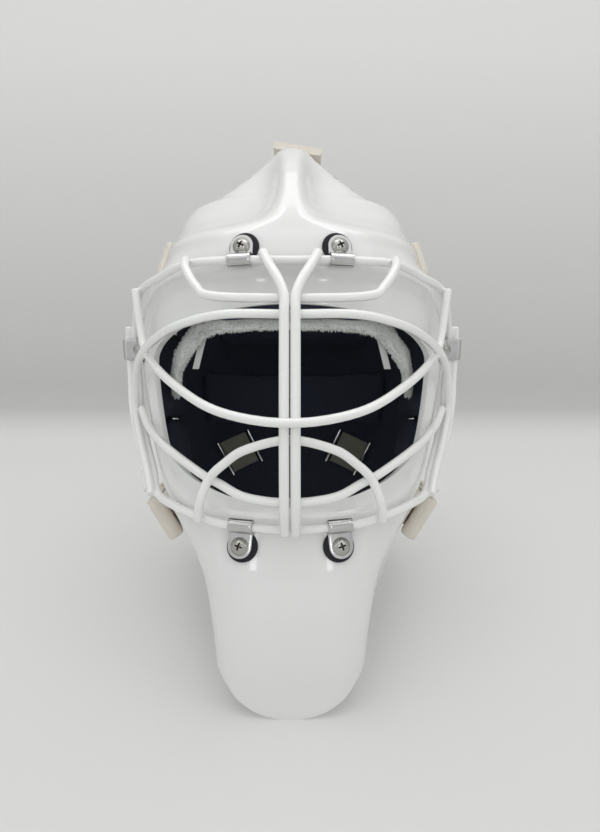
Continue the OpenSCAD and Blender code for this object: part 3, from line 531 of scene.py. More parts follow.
finishes = {
    "shell_white": glossPaint("shellWhite", (0.79, 0.79, 0.775), (0.778, 0.778, 0.762), 0.24, 0.05),
    "plate_white": glossPaint("plateWhite", (0.79, 0.79, 0.77), (0.77, 0.77, 0.75), 0.30, 0.06),
    "cage_white": glossPaint("cageWhite", (0.87, 0.87, 0.85), (0.85, 0.85, 0.83), 0.26, 0.30, 0.9, 0.10),
    "clip_steel": brushedMetal("clipSteel", (0.62, 0.62, 0.605), 0.16, (1, 1, 0.03), 0.08),
    "screw_steel": brushedMetal("screwSteel", (0.50, 0.49, 0.465), 0.15, (1, 1, 1), 0.15),
    "rivet_steel": brushedMetal("rivetSteel", (0.70, 0.69, 0.67), 0.22, (1, 1, 1), 0.12),
    "rod_steel": brushedMetal("rodSteel", (0.82, 0.82, 0.82), 0.12, (0.1, 0.1, 1), 0.05),
    "washer_rubber": softCover("washerRubber", (0.012, 0.012, 0.016), (0.022, 0.022, 0.028), 0.42, 900.0, 0.00006, 0.0),
    "lining_foam": softCover("liningFoam", (0.034, 0.040, 0.062), (0.048, 0.054, 0.080), 0.95, 1400.0, 0.00025, 0.02),
    "terry_grey": softCover("terryGrey", (0.68, 0.69, 0.66), (0.80, 0.81, 0.78), 1.0, 800.0, 0.0009, 0.6),
    "tab_white": wovenTape("tabWhite", (0.72, 0.72, 0.70), (0.62, 0.62, 0.60), 0.0006, 0.00015, 0.3),
    "tape_olive": wovenTape("tapeOlive", (0.30, 0.29, 0.235), (0.22, 0.215, 0.175), 0.0011, 0.0003, 0.2),
    "webbing_cream": wovenTape("webbingCream", (0.92, 0.86, 0.76), (0.87, 0.80, 0.70), 0.0012, 0.0004, 0.7),
    "cup_black": softCover("cupBlack", (0.014, 0.014, 0.018), (0.026, 0.026, 0.030), 0.5, 700.0, 0.00012, 0.1),
}
crossShade = brushedMetal("crossShade", (0.10, 0.10, 0.10), 0.45, (1, 1, 1), 0.15)
shellInside = softCover("shellInside", (0.026, 0.031, 0.050), (0.036, 0.042, 0.064), 0.8, 500.0, 0.0002, 0.15)
print("materials ready")


def dressed(piece, slot, body, *nodes):
    # finish, body and the CAD nodes that a piece stands for
    if not piece.data.materials:
        piece.data.materials.append(finishes[slot])
    if body:
        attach(piece, body)
    if nodes:
        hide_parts(*nodes)
    return piece


def dressedPair(piece, name, slot, body, node):
    for made, side in zip(bothHands(piece, name), ("_left", "_right")):
        dressed(made, slot, body, node + side)


# shell
def stretched(counts):
    # grid lines as (band, share) pairs
    return [(band, k / count) for band, count in enumerate(counts) for k in range(count)] + [(len(counts) - 1, 1.0)]


def eased(x, low, high):
    t = np.clip((x - low) / (high - low), 0, 1)
    return t * t * (3 - 2 * t)


def shellGrid():
    rows = np.array([band + share for band, share in stretched(wall["rows"])])
    half = np.array([band + share for band, share in stretched(wall["halfColumns"])])
    columns = np.concatenate([-half[:0:-1], half])
    key = at(keyLines, np.abs(columns))
    heights = np.empty((len(rows), len(columns)))
    for i, row in enumerate(rows):
        band = min(int(row), 5)
        share = row - band
        top = sections[-1, 0] if band == 5 else key[:, band + 2]
        heights[i] = key[:, band + 1] + (top - key[:, band + 1]) * share
    return rows[:, None], np.broadcast_to(columns, heights.shape), heights


def relaxedRim(piece, isRim, times):
    # evens out the edge of the opening along itself, and draws its neighbours after it
    mesh = piece.data
    ends = np.array([e.vertices[:] for e in mesh.edges])
    rimEdge = isRim[ends[:, 0]] & isRim[ends[:, 1]]
    facesOf = {}
    for face in mesh.polygons:
        for key in face.edge_keys:
            facesOf[key] = facesOf.get(key, 0) + 1
    rimEdge &= np.array([facesOf.get(tuple(sorted(e)), 0) == 1 for e in ends])
    points = pointsOf(piece)
    near = np.zeros(len(points), bool)
    near[ends[rimEdge].ravel()] = True
    rim = near.copy()
    for _ in range(4):
        touched = near[ends[:, 0]] | near[ends[:, 1]]
        near[ends[touched].ravel()] = True
    ring = near & ~rim
    for _ in range(times):
        for moving, links in ((rim, ends[rimEdge]), (ring, ends)):
            total = np.zeros_like(points)
            count = np.zeros(len(points))
            for a, b in ((0, 1), (1, 0)):
                np.add.at(total, links[:, a], points[links[:, b]])
                np.add.at(count, links[:, a], 1)
            moved = moving & (count > 1)
            points[moved] += 0.5 * (total[moved] / count[moved][:, None] - points[moved])
    movePoints(piece, points)


def roundedBox(name, size, radius, segments=4):
    piece = fresh(name, bpy.ops.mesh.primitive_cube_add, size=1)
    piece.data.transform(Matrix.Diagonal((*size, 1)))
    editAll(piece, (bpy.ops.mesh.bevel, {"offset": radius, "segments": segments, "affect": "EDGES"}))
    return piece


slots = {
    "straps": [(120, 2.06, 6.0, 36.0), (312, 2.32, 6.0, 30.0)],
    "roofVents": [(357, 1.55), (366, 1.5), (375, 1.45)], "roofSize": (16.0, 4.0),
    "earVents": [(200, 2.35), (214, 2.35), (228, 2.35)], "earSize": (24.0, 6.0),
}


def shellCutters():
    cutters = []
    for w, c, thick, long in slots["straps"]:
        cutters.append((roundedBox("slotTool", (thick, long, 30), 1.8), w, c))
    for vents, (long, tall) in ((slots["roofVents"], slots["roofSize"]), (slots["earVents"], slots["earSize"])):
        for w, c in vents:
            cutters.append((roundedBox("ventTool", (long, tall, 16), tall * 0.45, 6), w, c))
    made = []
    for tool, w, c in cutters:
        made += atBoth(tool, onSkin(w, c))
        bpy.data.objects.remove(tool)
    return joined("cutters", made)


def floorCut(piece):
    editAll(piece, (bpy.ops.mesh.bisect, {"plane_co": (0, 0, 0), "plane_no": (0, 0, 1), "use_fill": True,
                                          "clear_inner": True}))


def makeShell():
    rows, columns, heights = shellGrid()
    deep = (eased(rows, *wall["fadeFoot"]) * (1 - eased(rows, *wall["fadeHead"]))
            * (1 - eased(np.abs(columns), *wall["fadeSide"])))
    points = skin(heights, columns) - outward(heights, columns) * (wall["recess"] * deep)[..., None]
    piece = gridPiece("shell", world(points))
    inside = (rows >= 2 - 1e-6) & (rows <= 3 + 1e-6) & (np.abs(columns) <= 1 + 1e-6)
    isOpen = inside[:-1, :-1] & inside[1:, :-1] & inside[:-1, 1:] & inside[1:, 1:]
    pickOnly(piece)
    bpy.ops.object.mode_set(mode="EDIT")
    bpy.ops.mesh.select_mode(type="FACE")
    bpy.ops.mesh.select_all(action="DESELECT")
    bpy.ops.object.mode_set(mode="OBJECT")
    piece.data.polygons.foreach_set("select", isOpen.ravel())
    bpy.ops.object.mode_set(mode="EDIT")
    bpy.ops.mesh.delete(type="FACE")
    bpy.ops.object.mode_set(mode="OBJECT")
    # of the free edges, the rim of the opening is the one well inside the front
    flat = pointsOf(piece)
    lean = stance["lean"]
    height = (flat[:, 2] + floorZ / 1000) * math.cos(lean) + (flat[:, 1] + shiftY / 1000) * math.sin(lean)
    foot, head, rear = wall["rimReach"]
    relaxedRim(piece, (height > foot) & (height < head) & (flat[:, 1] < rear), wall["rimTurns"])
    piece.data.materials.append(finishes["shell_white"])
    piece.data.materials.append(shellInside)
    applied(piece, "SOLIDIFY", thickness=wall["thick"] / 1000, offset=-1, use_rim=True, material_offset=1)
    flat = pointsOf(piece)
    weight = piece.data.attributes.new("bevel_weight_edge", "FLOAT", "EDGE")
    corners = np.array([e.vertices[:] for e in piece.data.edges])
    sharp = sharpEdges(piece, wall["sharp"]) & (flat[corners].mean(1)[:, 2] < wall["sharpBelow"])
    weight.data.foreach_set("value", sharp.astype(np.float32))
    applied(piece, "BEVEL", width=wall["edge"] / 1000, segments=3, limit_method="WEIGHT", use_clamp_overlap=True)
    tools = shellCutters()
    tools.data.materials.append(finishes["shell_white"])
    applied(piece, "BOOLEAN", operation="DIFFERENCE", solver="EXACT", object=tools)
    bpy.data.objects.remove(tools)
    floorCut(piece)
    print("shell:", len(piece.data.polygons), "faces")
    return dressed(smoothed(piece, 42), "shell_white", "mask", "shell")


def sharpEdges(piece, degrees):
    mesh = piece.data
    normals = faceNormals(piece)
    pair = {}
    for face in mesh.polygons:
        for key in face.edge_keys:
            pair.setdefault(key, []).append(face.index)
    limit = math.cos(math.radians(degrees))
    return np.array([len(f) == 2 and normals[f[0]] @ normals[f[1]] < limit
                     for f in (pair[tuple(sorted(e.vertices[:]))] for e in mesh.edges)])


makeShell()

# cage
cage = {"bar": 5.6, "centreBar": 6.2, "step": 2.5, "voxel": 0.8, "relax": 5, "swell": 0.14}
routes = {
    "rim": [[0, -130, 285], [30, -129.2, 285.2], [66, -118, 285.5], [88, -98.5, 281], [106, -75, 277],
            [112.5, -62, 266], [116.2, -50.5, 252], [116.8, -46, 235], [115, -47, 215], [111.8, -52.5, 193],
            [106.5, -59.5, 171], [98.3, -72.5, 150], [92, -87, 135], [76, -110.4, 129.5], [56, -128.5, 125],
            [37, -135, 121], [0, -137.8, 118.5]],
    "eyeLoop": [[0, -152.8, 247.8], [38, -151.5, 248], [63, -142, 244.5], [82, -124, 239.5], [100, -97, 231],
                [110.4, -73, 217.8], [114.4, -57.3, 193], [109.5, -64, 171], [101.5, -77, 150], [95.5, -91, 134.5]],
    "smile": [[0, -166.8, 184], [41, -159.5, 190.5], [72.6, -132, 207.8], [94.8, -99, 226.4], [103.2, -83.5, 240],
              [109.6, -79, 277]],
    "lower": [[0, -150.3, 136.7], [26.2, -147, 139.4], [42.8, -141.5, 147], [56.6, -131, 153], [82.4, -105, 167.5],
              [101, -75, 180.4], [109.7, -60.2, 194]],
    "arch": [[0, -156.1, 174], [26, -152, 168.2], [39.4, -148, 159.5], [48.9, -144, 150.1], [54.6, -141.5, 136],
             [57, -133.6, 123.3]],
    "brow": [[0, -149.6, 258], [46, -147.5, 259.5], [57, -141, 266.6], [65.4, -131, 280.2], [66.3, -123.8, 287]],
    "centre": [[17, -135, 288.5], [12.5, -143.5, 279], [6.5, -150.5, 268], [3.3, -155.3, 258], [3.3, -158.2, 247],
               [3.3, -160.8, 215], [3.3, -161.5, 180], [3.3, -161, 160], [3.3, -156.1, 137], [3.3, -151, 127],
               [3.3, -143.2, 117.5]],
    "brace": [[121.5, -49.5, 254.6], [122.3, -46, 238], [120.8, -46, 218], [118.4, -51, 195], [113.2, -57.3, 172],
              [105.2, -70, 151], [100, -83.6, 136.5]],
}


def bent(points, step, closed=False):
    # smooth run through the points, as the wire bender sets it; more columns may ride along
    p = np.asarray(points, float)
    n = len(p)
    out = []
    for i in range(n if closed else n - 1):
        a, b, c, d = (p[(i + k) % n] if closed else p[min(max(i + k, 0), n - 1)] for k in (-1, 0, 1, 2))
        count = max(2, round(np.linalg.norm((c - b)[:3]) / step))
        u = (np.arange(count) / count)[:, None]
        out.append(b + (c - a) * u / 2 + (a - 2.5 * b + 2 * c - 0.5 * d) * u ** 2
                   + (1.5 * b - 0.5 * a - 1.5 * c + 0.5 * d) * u ** 3)
    if not closed:
        out.append(p[-1:])
    return np.concatenate(out)


def wirePiece(name, points, diameter, closed=False, swell=None):
    run = world(bent(points, cage["step"], closed))
    piece = fresh(name, bpy.ops.curve.primitive_nurbs_path_add)
    piece.location = (0, 0, 0)
    line = piece.data
    line.splines.clear()
    spline = line.splines.new("POLY")
    spline.points.add(len(run) - 1)
    spline.points.foreach_set("co", np.concatenate([run, np.ones((len(run), 1))], 1).ravel())
    spline.use_cyclic_u = closed
    line.bevel_depth = (diameter / 2 + (cage["swell"] if swell is None else swell)) / 1000
    line.bevel_resolution = 4
    line.use_fill_caps = True
    bpy.ops.object.convert(target="MESH")
    return bpy.context.object


def bothSides(half, closed=False):
    half = np.asarray(half, float)
    flipped = half * [-1, 1, 1]
    return np.concatenate([half, flipped[-2:0:-1]]) if closed else np.concatenate([flipped[:0:-1], half])


def makeCage():
    wires = [wirePiece("rim", bothSides(routes["rim"], True), cage["bar"], True)]
    for name in ("eyeLoop", "smile", "lower", "arch", "brow"):
        wires.append(wirePiece(name, bothSides(routes[name]), cage["bar"]))
    right = wirePiece("brace", routes["brace"], cage["bar"])
    piece = joined("cage", wires + [right, copied(right, flipX)])
    applied(piece, "REMESH", mode="VOXEL", voxel_size=cage["voxel"] / 1000, adaptivity=0)
    applied(piece, "SMOOTH", factor=0.5, iterations=cage["relax"])
    # the two centre wires stay apart, with the slit between them
    right = wirePiece("centre", routes["centre"], cage["centreBar"], swell=0.02)
    piece = joined("cage", [right, copied(right, flipX), piece])
    print("cage:", len(piece.data.polygons), "faces")
    pickOnly(piece)
    bpy.ops.object.shade_smooth()
    return dressed(piece, "cage_white", "mask", "cage_rim", "cage_eye_loop", "cage_smile_bar", "cage_lower_bar",
                   "cage_arch_bar", "cage_brow_bar", "cage_centre_left", "cage_centre_right", "cage_brace_left",
                   "cage_brace_right")


makeCage()

# clips and their screws, modelled in millimetres on the origin and then set on their seats
clips = {"width": 15.0, "thick": 1.2, "hookGap": 0.5, "washer": (19.5, 2.0), "head": (11.2, 3.4), "shank": 4.4,
         "nut": (13.0, 4.6, 1.3), "aside": 1.3}
# height, column, distance to the wire, height of the wire, turn, where the plate bends up
seats = {"top": (294.5, 0.385, 10.4, 5.2, 180, 4.0), "bottom": (107.5, 0.58, 12.5, 4.9, 4, 4.0),
         "side": (237, 1.26, 15.45, 7.8, -85, 7.7)}


def clipLine(seat):
    reach, lift, bend = seat[2], seat[3], seat[5]
    hook = cage["bar"] / 2 + clips["hookGap"] + clips["thick"] / 2
    foot = np.array([reach - bend, clips["washer"][1] + clips["thick"] / 2])
    away = np.array([reach, lift]) - foot
    rise = math.atan2(away[1], away[0]) + math.asin(hook / np.linalg.norm(away)) + math.pi / 2
    last = math.radians(-35)
    arc = [np.array([reach, lift]) + hook * np.array([math.cos(a), math.sin(a)]) for a in np.linspace(rise, last, 26)]
    # the bend at the foot has a small radius
    soft = 1.1
    before = foot - [soft, 0]
    after = foot + soft * (arc[0] - foot) / np.linalg.norm(arc[0] - foot)
    corner = [(1 - t) ** 2 * before + 2 * t * (1 - t) * foot + t ** 2 * after for t in np.linspace(0, 1, 6)]
    return corner + [p for p in arc if np.linalg.norm(p - foot) > soft]


def makeClip(spot, seat):
    radius = clips["width"] / 2
    run = clipLine(seat)
    flatZ = run[0][1]
    rows = [(radius * math.sin(a), -radius * math.cos(a), flatZ) for a in np.radians(np.linspace(3, 90, 12))]
    rows += [(radius, y, z) for y, z in run]
    spread = np.linspace(-1, 1, 9)
    grid = np.array([[[half * t, y, z] for t in spread] for half, y, z in rows])
    piece = gridPiece("clip", grid)
    editAll(piece, (bpy.ops.mesh.normals_make_consistent, {"inside": False}))
    applied(piece, "SOLIDIFY", thickness=clips["thick"], offset=0, use_even_offset=True)
    rounded(piece, 0.22, degrees=50)
    piece.data.transform(onSkin(seat[0], seat[1], seat[4]))
    dressedPair(smoothed(piece, 45), "clip" + spot.title(), "clip_steel", "mask", "clip_" + spot)


for spot, seat in seats.items():
    makeClip(spot, seat)


def onAllSeats(name, piece, slot, node, spin=False, drop=0.0, inwards=0.0):
    made = []
    for seat in seats.values():
        aside = -inwards if seat[1] < 1 else 0.0
        place = onSkin(seat[0], seat[1], seat[0] if spin else 0) @ Matrix.Translation((aside, 0, drop))
        made += atBoth(piece, place)
    bpy.data.objects.remove(piece)
    return dressed(smoothed(joined(name, made), 35), slot, "mask", node)


def makeScrews():
    wide, high = clips["head"]
    base = clips["washer"][1] + clips["thick"]
    ball = (wide ** 2 / 4 + high ** 2) / (2 * high)
    edge = math.asin(wide / 2 / ball)
    profile = [(ball * math.sin(a), base + high - ball * (1 - math.cos(a)))
               for a in np.linspace(0.06, edge * 0.97, 14)]
    shank = clips["shank"] / 2
    foot = base - (clips["washer"][1] + clips["thick"] + wall["thick"] + clips["nut"][2] + clips["nut"][1] + 1)
    profile += [(wide / 2, base + 0.35), (wide / 2, base), (shank, base), (shank, foot + 0.5), (shank - 0.5, foot)]
    screw = turned("screw", profile)
    blades = []
    for turn in (0, 90):
        blade = roundedBox("blade", (wide * 0.60, 1.35, 3.4), 0.12, 2)
        flat = pointsOf(blade)
        flat[:, :2] *= np.where(flat[:, 2:] < 0, 0.45, 1.0)
        movePoints(blade, flat)
        blade.data.transform(Matrix.Rotation(math.radians(turn), 4, "Z"))
        blade.data.transform(Matrix.Translation((0, 0, base + high - 0.6)))
        blades.append(blade)
    # each arm of the cross is cut in turn, and its walls stay dark
    screw.data.materials.append(finishes["screw_steel"])
    for blade in blades:
        blade.data.materials.append(crossShade)
        applied(screw, "BOOLEAN", operation="DIFFERENCE", solver="EXACT", object=blade, material_mode="TRANSFER")
        bpy.data.objects.remove(blade)
    rounded(screw, 0.08, degrees=40)
    onAllSeats("clipScrews", screw, "screw_steel", "clip_screws", spin=True)


def makeWashers():
    wide, thick = clips["washer"][0] / 2, clips["washer"][1]
    hole = clips["shank"] / 2 + clips["aside"] + 0.1
    loop = [(hole, thick - 0.3), (hole + 0.3, thick), (wide - 0.9, thick), (wide - 0.35, thick - 0.15),
            (wide - 0.05, thick - 0.55), (wide, thick * 0.5), (wide - 0.1, 0.35), (wide - 0.5, 0.0), (hole, 0.0),
            (hole, thick - 0.3)]
    onAllSeats("clipWashers", turned("washer", loop, 56, ring=True), "washer_rubber", "clip_washers",
               inwards=clips["aside"])


def makeNuts():
    wide, high, gap = clips["nut"]
    flange = turned("flange", [(2.25, -1.4), (wide / 2 - 0.3, -1.4), (wide / 2, -1.1), (wide / 2, -0.3),
                               (wide / 2 - 0.3, 0), (2.25, 0), (2.25, -1.4)], 40, ring=True)
    hexPart = fresh("hexPart", bpy.ops.mesh.primitive_cylinder_add, vertices=6, radius=wide * 0.34, depth=high,
                    location=(0, 0, -high / 2))
    bpy.ops.object.transform_apply()
    rounded(hexPart, 0.45, degrees=40)
    nut = joined("nut", [flange, hexPart])
    onAllSeats("clipNuts", nut, "screw_steel", "clip_nuts", drop=-wall["thick"] - gap)


makeScrews()
makeWashers()
makeNuts()
print("clips done")

# back plate
plate = {"thick": 3.5, "pad": 10.0, "gap": 0.3, "rows": 90, "columns": 81, "edge": 1.2}


def makeBackPlate():
    w = np.linspace(plateRows[0, 0], plateRows[-1, 0], plate["rows"])[:, None]
    u = np.linspace(-1, 1, plate["columns"])[None, :]
    piece = gridPiece("backPlate", world(platePoint(w + 0 * u, -u + 0 * w, 0.0)))
    piece.data.materials.append(finishes["plate_white"])
    piece.data.materials.append(shellInside)
    applied(piece, "SOLIDIFY", thickness=plate["thick"] / 1000, offset=-1, material_offset=1)
    rounded(piece, plate["edge"] / 1000, 3)
    floorCut(piece)
    return dressed(smoothed(piece, 40), "plate_white", "back_plate", "back_plate")


makeBackPlate()
print("back plate done")


# straps: bands of thick elastic webbing with rounded edges
straps = {"top": (40.0, 6.0), "upper": (28.0, 5.0), "lower": (34.0, 5.0), "chin": (14.0, 2.2), "gap": 0.5,
          "slack": 0.3, "fold": 2.0, "topX": 4.0, "topRoll": 9.0, "round": 0.32}


def onShell(w, c, off):
    n = outward(w, c)
    return skin(w, c) + n * off, unit(np.cross(n, skin(w, c + 0.02) - skin(w, c - 0.02)))


def inShell(w, c, off):
    return onShell(w, c, -wall["thick"] - off)


def onPlate(w, u, off):
    return platePoint(w, u, -off), unit(platePoint(w + 1, u, 0) - platePoint(w - 1, u, 0))


def between(a, b, share, lift):
    return a[0] * (1 - share) + b[0] * share + lift, unit(a[1] * (1 - share) + b[1] * share)


def strapPiece(name, stops, size, step=2.0):
    wide, thick = size
    # directions are carried on the same steps as the places
    p = np.array([s[0] for s in stops])
    d = np.array([s[1] for s in stops])
    run = bent(np.concatenate([p, d * 10], 1), step)
    place, high = run[:, :3], unit(run[:, 3:])
    ahead = np.gradient(place, axis=0)
    side = unit(np.cross(ahead, high))
    # rounded section: (share of half thickness, share of half width)
    corner = straps["round"] * thick
    ring = []
    for sx, sz, start in ((1, 1, 0), (-1, 1, 90), (-1, -1, 180), (1, -1, 270)):
        for k in range(4):
            a = math.radians(start + 30 * k)
            ring.append((sx * (thick / 2 - corner) + corner * math.cos(a),
                         sz * (wide / 2 - corner) + corner * math.sin(a)))
        if start in (90, 270):
            z0, z1 = sz * (wide / 2 - corner), -sz * (wide / 2 - corner)
            for t in np.linspace(0, 1, 9)[1:-1]:
                ring.append((sx * thick / 2, z0 + (z1 - z0) * t))
    ring = np.array(ring + ring[:1])
    girth = np.concatenate([[0], np.cumsum(np.linalg.norm(np.diff(ring, axis=0), axis=1))])
    length = np.concatenate([[0], np.cumsum(np.linalg.norm(np.diff(place, axis=0), axis=1))])
    points = place[:, None] + side[:, None] * ring[None, :, :1] + high[:, None] * ring[None, :, 1:]
    piece = gridPiece(name, world(points), np.broadcast_to(girth / 1000, points.shape[:2]),
                      np.broadcast_to(length[:, None] / 1000, points.shape[:2]))
    # the seam is closed, and both ends are capped
    editAll(piece, (bpy.ops.mesh.remove_doubles, {"threshold": 1e-6}), (bpy.ops.mesh.select_mode, {"type": "EDGE"}),
            (bpy.ops.mesh.select_all, {"action": "DESELECT"}), (bpy.ops.mesh.select_non_manifold, {}),
            (bpy.ops.mesh.edge_face_add, {}), (bpy.ops.mesh.select_all, {"action": "SELECT"}),
            (bpy.ops.mesh.normals_make_consistent, {"inside": False}))
    return smoothed(piece, 55)


def turnBack(w, c, off, reach, pitch):
    return [onShell(w, c + reach * math.cos(a), off + pitch / 2 * (1 + math.sin(a)))
            for a in np.radians([-60, 0, 60])]


def outOfSlot(w, c, off, way):
    slack = straps["slack"]
    r = off - slack
    column = np.linalg.norm(skin(w, 3) - skin(w, 2))
    return ([onShell(w, c, d) for d in (-9, -4, slack)]
            + [onShell(w, c + way * r * (1 - math.cos(a)) / column, slack + r * math.sin(a))
               for a in np.radians([30, 60])]
            + [onShell(w, c + way * r / column, off)])


def sideStops():
    thick = straps["upper"][1]
    near = thick / 2 + straps["gap"] + straps["slack"]
    pitch = thick + straps["fold"]
    w = slots["straps"][1][0]
    onBack = [onPlate(302, u, near + 0.4) for u in (0.95, 0.82, 0.7, 0.58)]
    first = onShell(w, 2.9, near + pitch - 4)
    upper = (outOfSlot(w, slots["straps"][1][1], near, -1) + [onShell(w, c, near) for c in (2.12, 2)]
             + turnBack(w, 1.97, near, -0.05, pitch)
             + [onShell(w, c, near + pitch - (c - 2) * 4) for c in (2, 2.2, 2.45, 2.7)] + [first]
             + [between(first, onBack[0], 0.55, np.array([3.0, 0, 0]))] + onBack)
    w = slots["straps"][0][0]
    onBack = [onPlate(120, u, near + 0.4) for u in (0.95, 0.82, 0.68, 0.54)]
    first = onShell(w, 2.92, near + 2 * pitch - 8)
    jaw = near + 1.3
    lower = (outOfSlot(w, slots["straps"][0][1], jaw, 1) + [onShell(w, c, jaw) for c in (2.3, 2.48)]
             + turnBack(w, 2.5, jaw, 0.04, pitch) + [onShell(w, c, jaw + pitch) for c in (2.48, 2.3, 2.17)]
             + turnBack(w, 2.15, jaw + pitch, -0.04, pitch)
             + [onShell(w, c, jaw + 2 * pitch - (c - 2.17) * 10) for c in (2.17, 2.35, 2.55, 2.75)]
             + [first] + [between(first, onBack[0], 0.5, np.array([3.0, 0, 0]))] + onBack)
    return upper, lower


def topStops():
    thick = straps["top"][1]
    over = sections[-1, 0] + straps["gap"] + thick / 2 + straps["slack"]
    roll = math.radians(straps["topRoll"])
    skew = np.array([math.cos(roll), 0, -math.sin(roll)])
    out = thick / 2 / 0.82 + straps["gap"]
    stops = [(np.array([straps["topX"], y, over - down]), skew)
             for y, down in ((-3, 0), (10, 0), (23, 0), (34, 3), (45, 9.5), (55, 18), (64, 27.5))]
    for w in (367, 356, 345, 334):
        stops.append((onPlate(w, 0, out)[0] + [straps["topX"], 0, 0], np.array([1.0, 0, 0])))
    return stops


upperStops, lowerStops = sideStops()
topRun = topStops()


def strapOverJoint(piece, stops, leaves, lands, node):
    dressed(piece, "webbing_cream", None, node)
    world(stops[leaves][0])
    world(stops[lands][0])
    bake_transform(piece)


strapOverJoint(strapPiece("topStrap", topRun, straps["top"]), topRun, 4, 8, "top_strap")
for height, stops in (("upper", upperStops), ("lower", lowerStops)):
    left, right = bothHands(strapPiece(height + "Strap", stops, straps[height]), height + "Strap")
    for made, side, label in ((right, 1, "right"), (left, -1, "left")):
        run = [(s[0] * [side, 1, 1], s[1]) for s in stops]
        strapOverJoint(made, run, -6, -4, height + "_strap_" + label)
print("straps done")

# rivets, snaps and slide rods
rivets = {"wide": 11.0, "high": 2.0, "gap": 0.15, "snap": (6.0, 2.6, 0.7)}


def rivetHead():
    r, h = rivets["wide"] / 2, rivets["high"]
    return turned("rivet", [(0.8, h), (r * 0.5, h * 0.94), (r * 0.75, h * 0.76), (r * 0.92, h * 0.5), (r, h * 0.22),
                            (r, 0)], 40)


def onStrap(stops, i, thick, flip=1):
    n = unit(np.cross(stops[i + 1][0] - stops[i - 1][0], stops[i][1])) * flip
    return facing(stops[i][0] + n * (thick / 2 + rivets["gap"]), n)


head = rivetHead()
ridgeRivet = named(copied(head, onStrap(topRun, 1, straps["top"][1], -1)), "ridgeRivet")
dressed(smoothed(ridgeRivet, 40), "rivet_steel", "mask", "ridge_rivet")
backRivets = [copied(head, onStrap(topRun, len(topRun) - 2, straps["top"][1], -1))]
for stops in (upperStops, lowerStops):
    place = onStrap(stops, len(stops) - 2, straps["upper"][1])
    backRivets += atBoth(head, place)
bpy.data.objects.remove(head)
dressed(smoothed(joined("plateRivets", backRivets), 40), "rivet_steel", "back_plate", "plate_rivets")
print("rivets done")

# lining: foam pads that swell a little between their edges
lining = {"seat": 4.3, "forehead": 15.0, "deeper": 0.7, "side": 14.0, "jawIn": 0.6, "jawLess": 2.0, "crownLess": 4.0,
          "grow": 5.0, "grid": 4, "corner": 5.0, "voxel": 4.5, "cap": 1.6, "pressure": 4.0, "frames": 20}


def padForm(name, place, sizes, thick):
    # a rounded block shaped by place(u, v, depth), u and v from 0 to 1, depth in millimetres
    long, wide = sizes
    rows, cols = (max(6, round(size / lining["grid"])) for size in (long, wide))
    piece = roundedBox(name, (wide, long, thick), min(thick * 0.42, lining["corner"]), 4)
    editAll(piece, (bpy.ops.mesh.subdivide, {"number_cuts": 1}))
    pickOnly(piece)
    bpy.ops.object.mode_set(mode="EDIT")
    bpy.ops.mesh.select_all(action="SELECT")
    for axis, count, size in ((0, cols, wide), (1, rows, long)):
        for k in range(1, count):
            cutAt, normal = [0.0, 0.0, 0.0], [0.0, 0.0, 0.0]
            cutAt[axis] = size * (k / count - 0.5)
            normal[axis] = 1.0
            bpy.ops.mesh.bisect(plane_co=cutAt, plane_no=normal)
            bpy.ops.mesh.select_all(action="SELECT")
    bpy.ops.object.mode_set(mode="OBJECT")
    flat = pointsOf(piece)
    u = np.clip(flat[:, 1] / long + 0.5, 0, 1)
    v = np.clip(flat[:, 0] / wide + 0.5, 0, 1)
    movePoints(piece, world(place(u, v, flat[:, 2] / thick + 0.5)))
    return piece


def swollen(piece):
    # cloth filled with air, held close to the shape it was cut to
    applied(piece, "REMESH", mode="VOXEL", voxel_size=lining["voxel"] / 1000, adaptivity=0)
    start = pointsOf(piece)
    pickOnly(piece)
    cloth = piece.modifiers.new("Cloth", "CLOTH")
    cloth.settings.use_pressure = True
    cloth.settings.uniform_pressure_force = lining["pressure"]
    cloth.settings.effector_weights.gravity = 0
    cloth.settings.quality = 4
    cloth.point_cache.frame_start, cloth.point_cache.frame_end = 1, lining["frames"]
    for moment in range(1, lining["frames"] + 1):
        scene.frame_set(moment)
    bpy.ops.object.modifier_apply(modifier=cloth.name)
    scene.frame_set(1)
    shift = pointsOf(piece) - start
    far = np.linalg.norm(shift, axis=1, keepdims=True)
    movePoints(piece, start + shift * np.minimum(1, lining["cap"] / 1000 / np.maximum(far, 1e-9)))
    applied(piece, "SUBSURF", levels=1, render_levels=1)
    smoothed(piece, 60)
    return piece


def liningPlace(patch, depth, thick, grow=0.0):
    w0, w1, c0, c1 = patch

    def place(u, v, share):
        w = w0 + (w1 - w0) * u
        c = c0 + (c1 - c0) * v
        inner = depth + 0.5 + (thick - 1.2 + grow * v * v) * share
        return skin(w, c) - outward(w, c) * inner[..., None]
    return place


def padSizes(patch):
    w0, w1, c0, c1 = patch
    run = skin((w0 + w1) / 2, np.linspace(c0, c1, 30))
    return w1 - w0, float(np.linalg.norm(np.diff(run, axis=0), axis=1).sum())


def shellPad(name, patch, depth, thick, *nodes, grow=0.0):
    piece = padForm(name, liningPlace(patch, depth, thick, grow), padSizes(patch), 12.0)
    swollen(piece)
    made = bothHands(piece, name) if len(nodes) == 2 else [piece]
    for pad, node in zip(made, nodes):
        dressed(pad, "lining_foam", "mask", node)


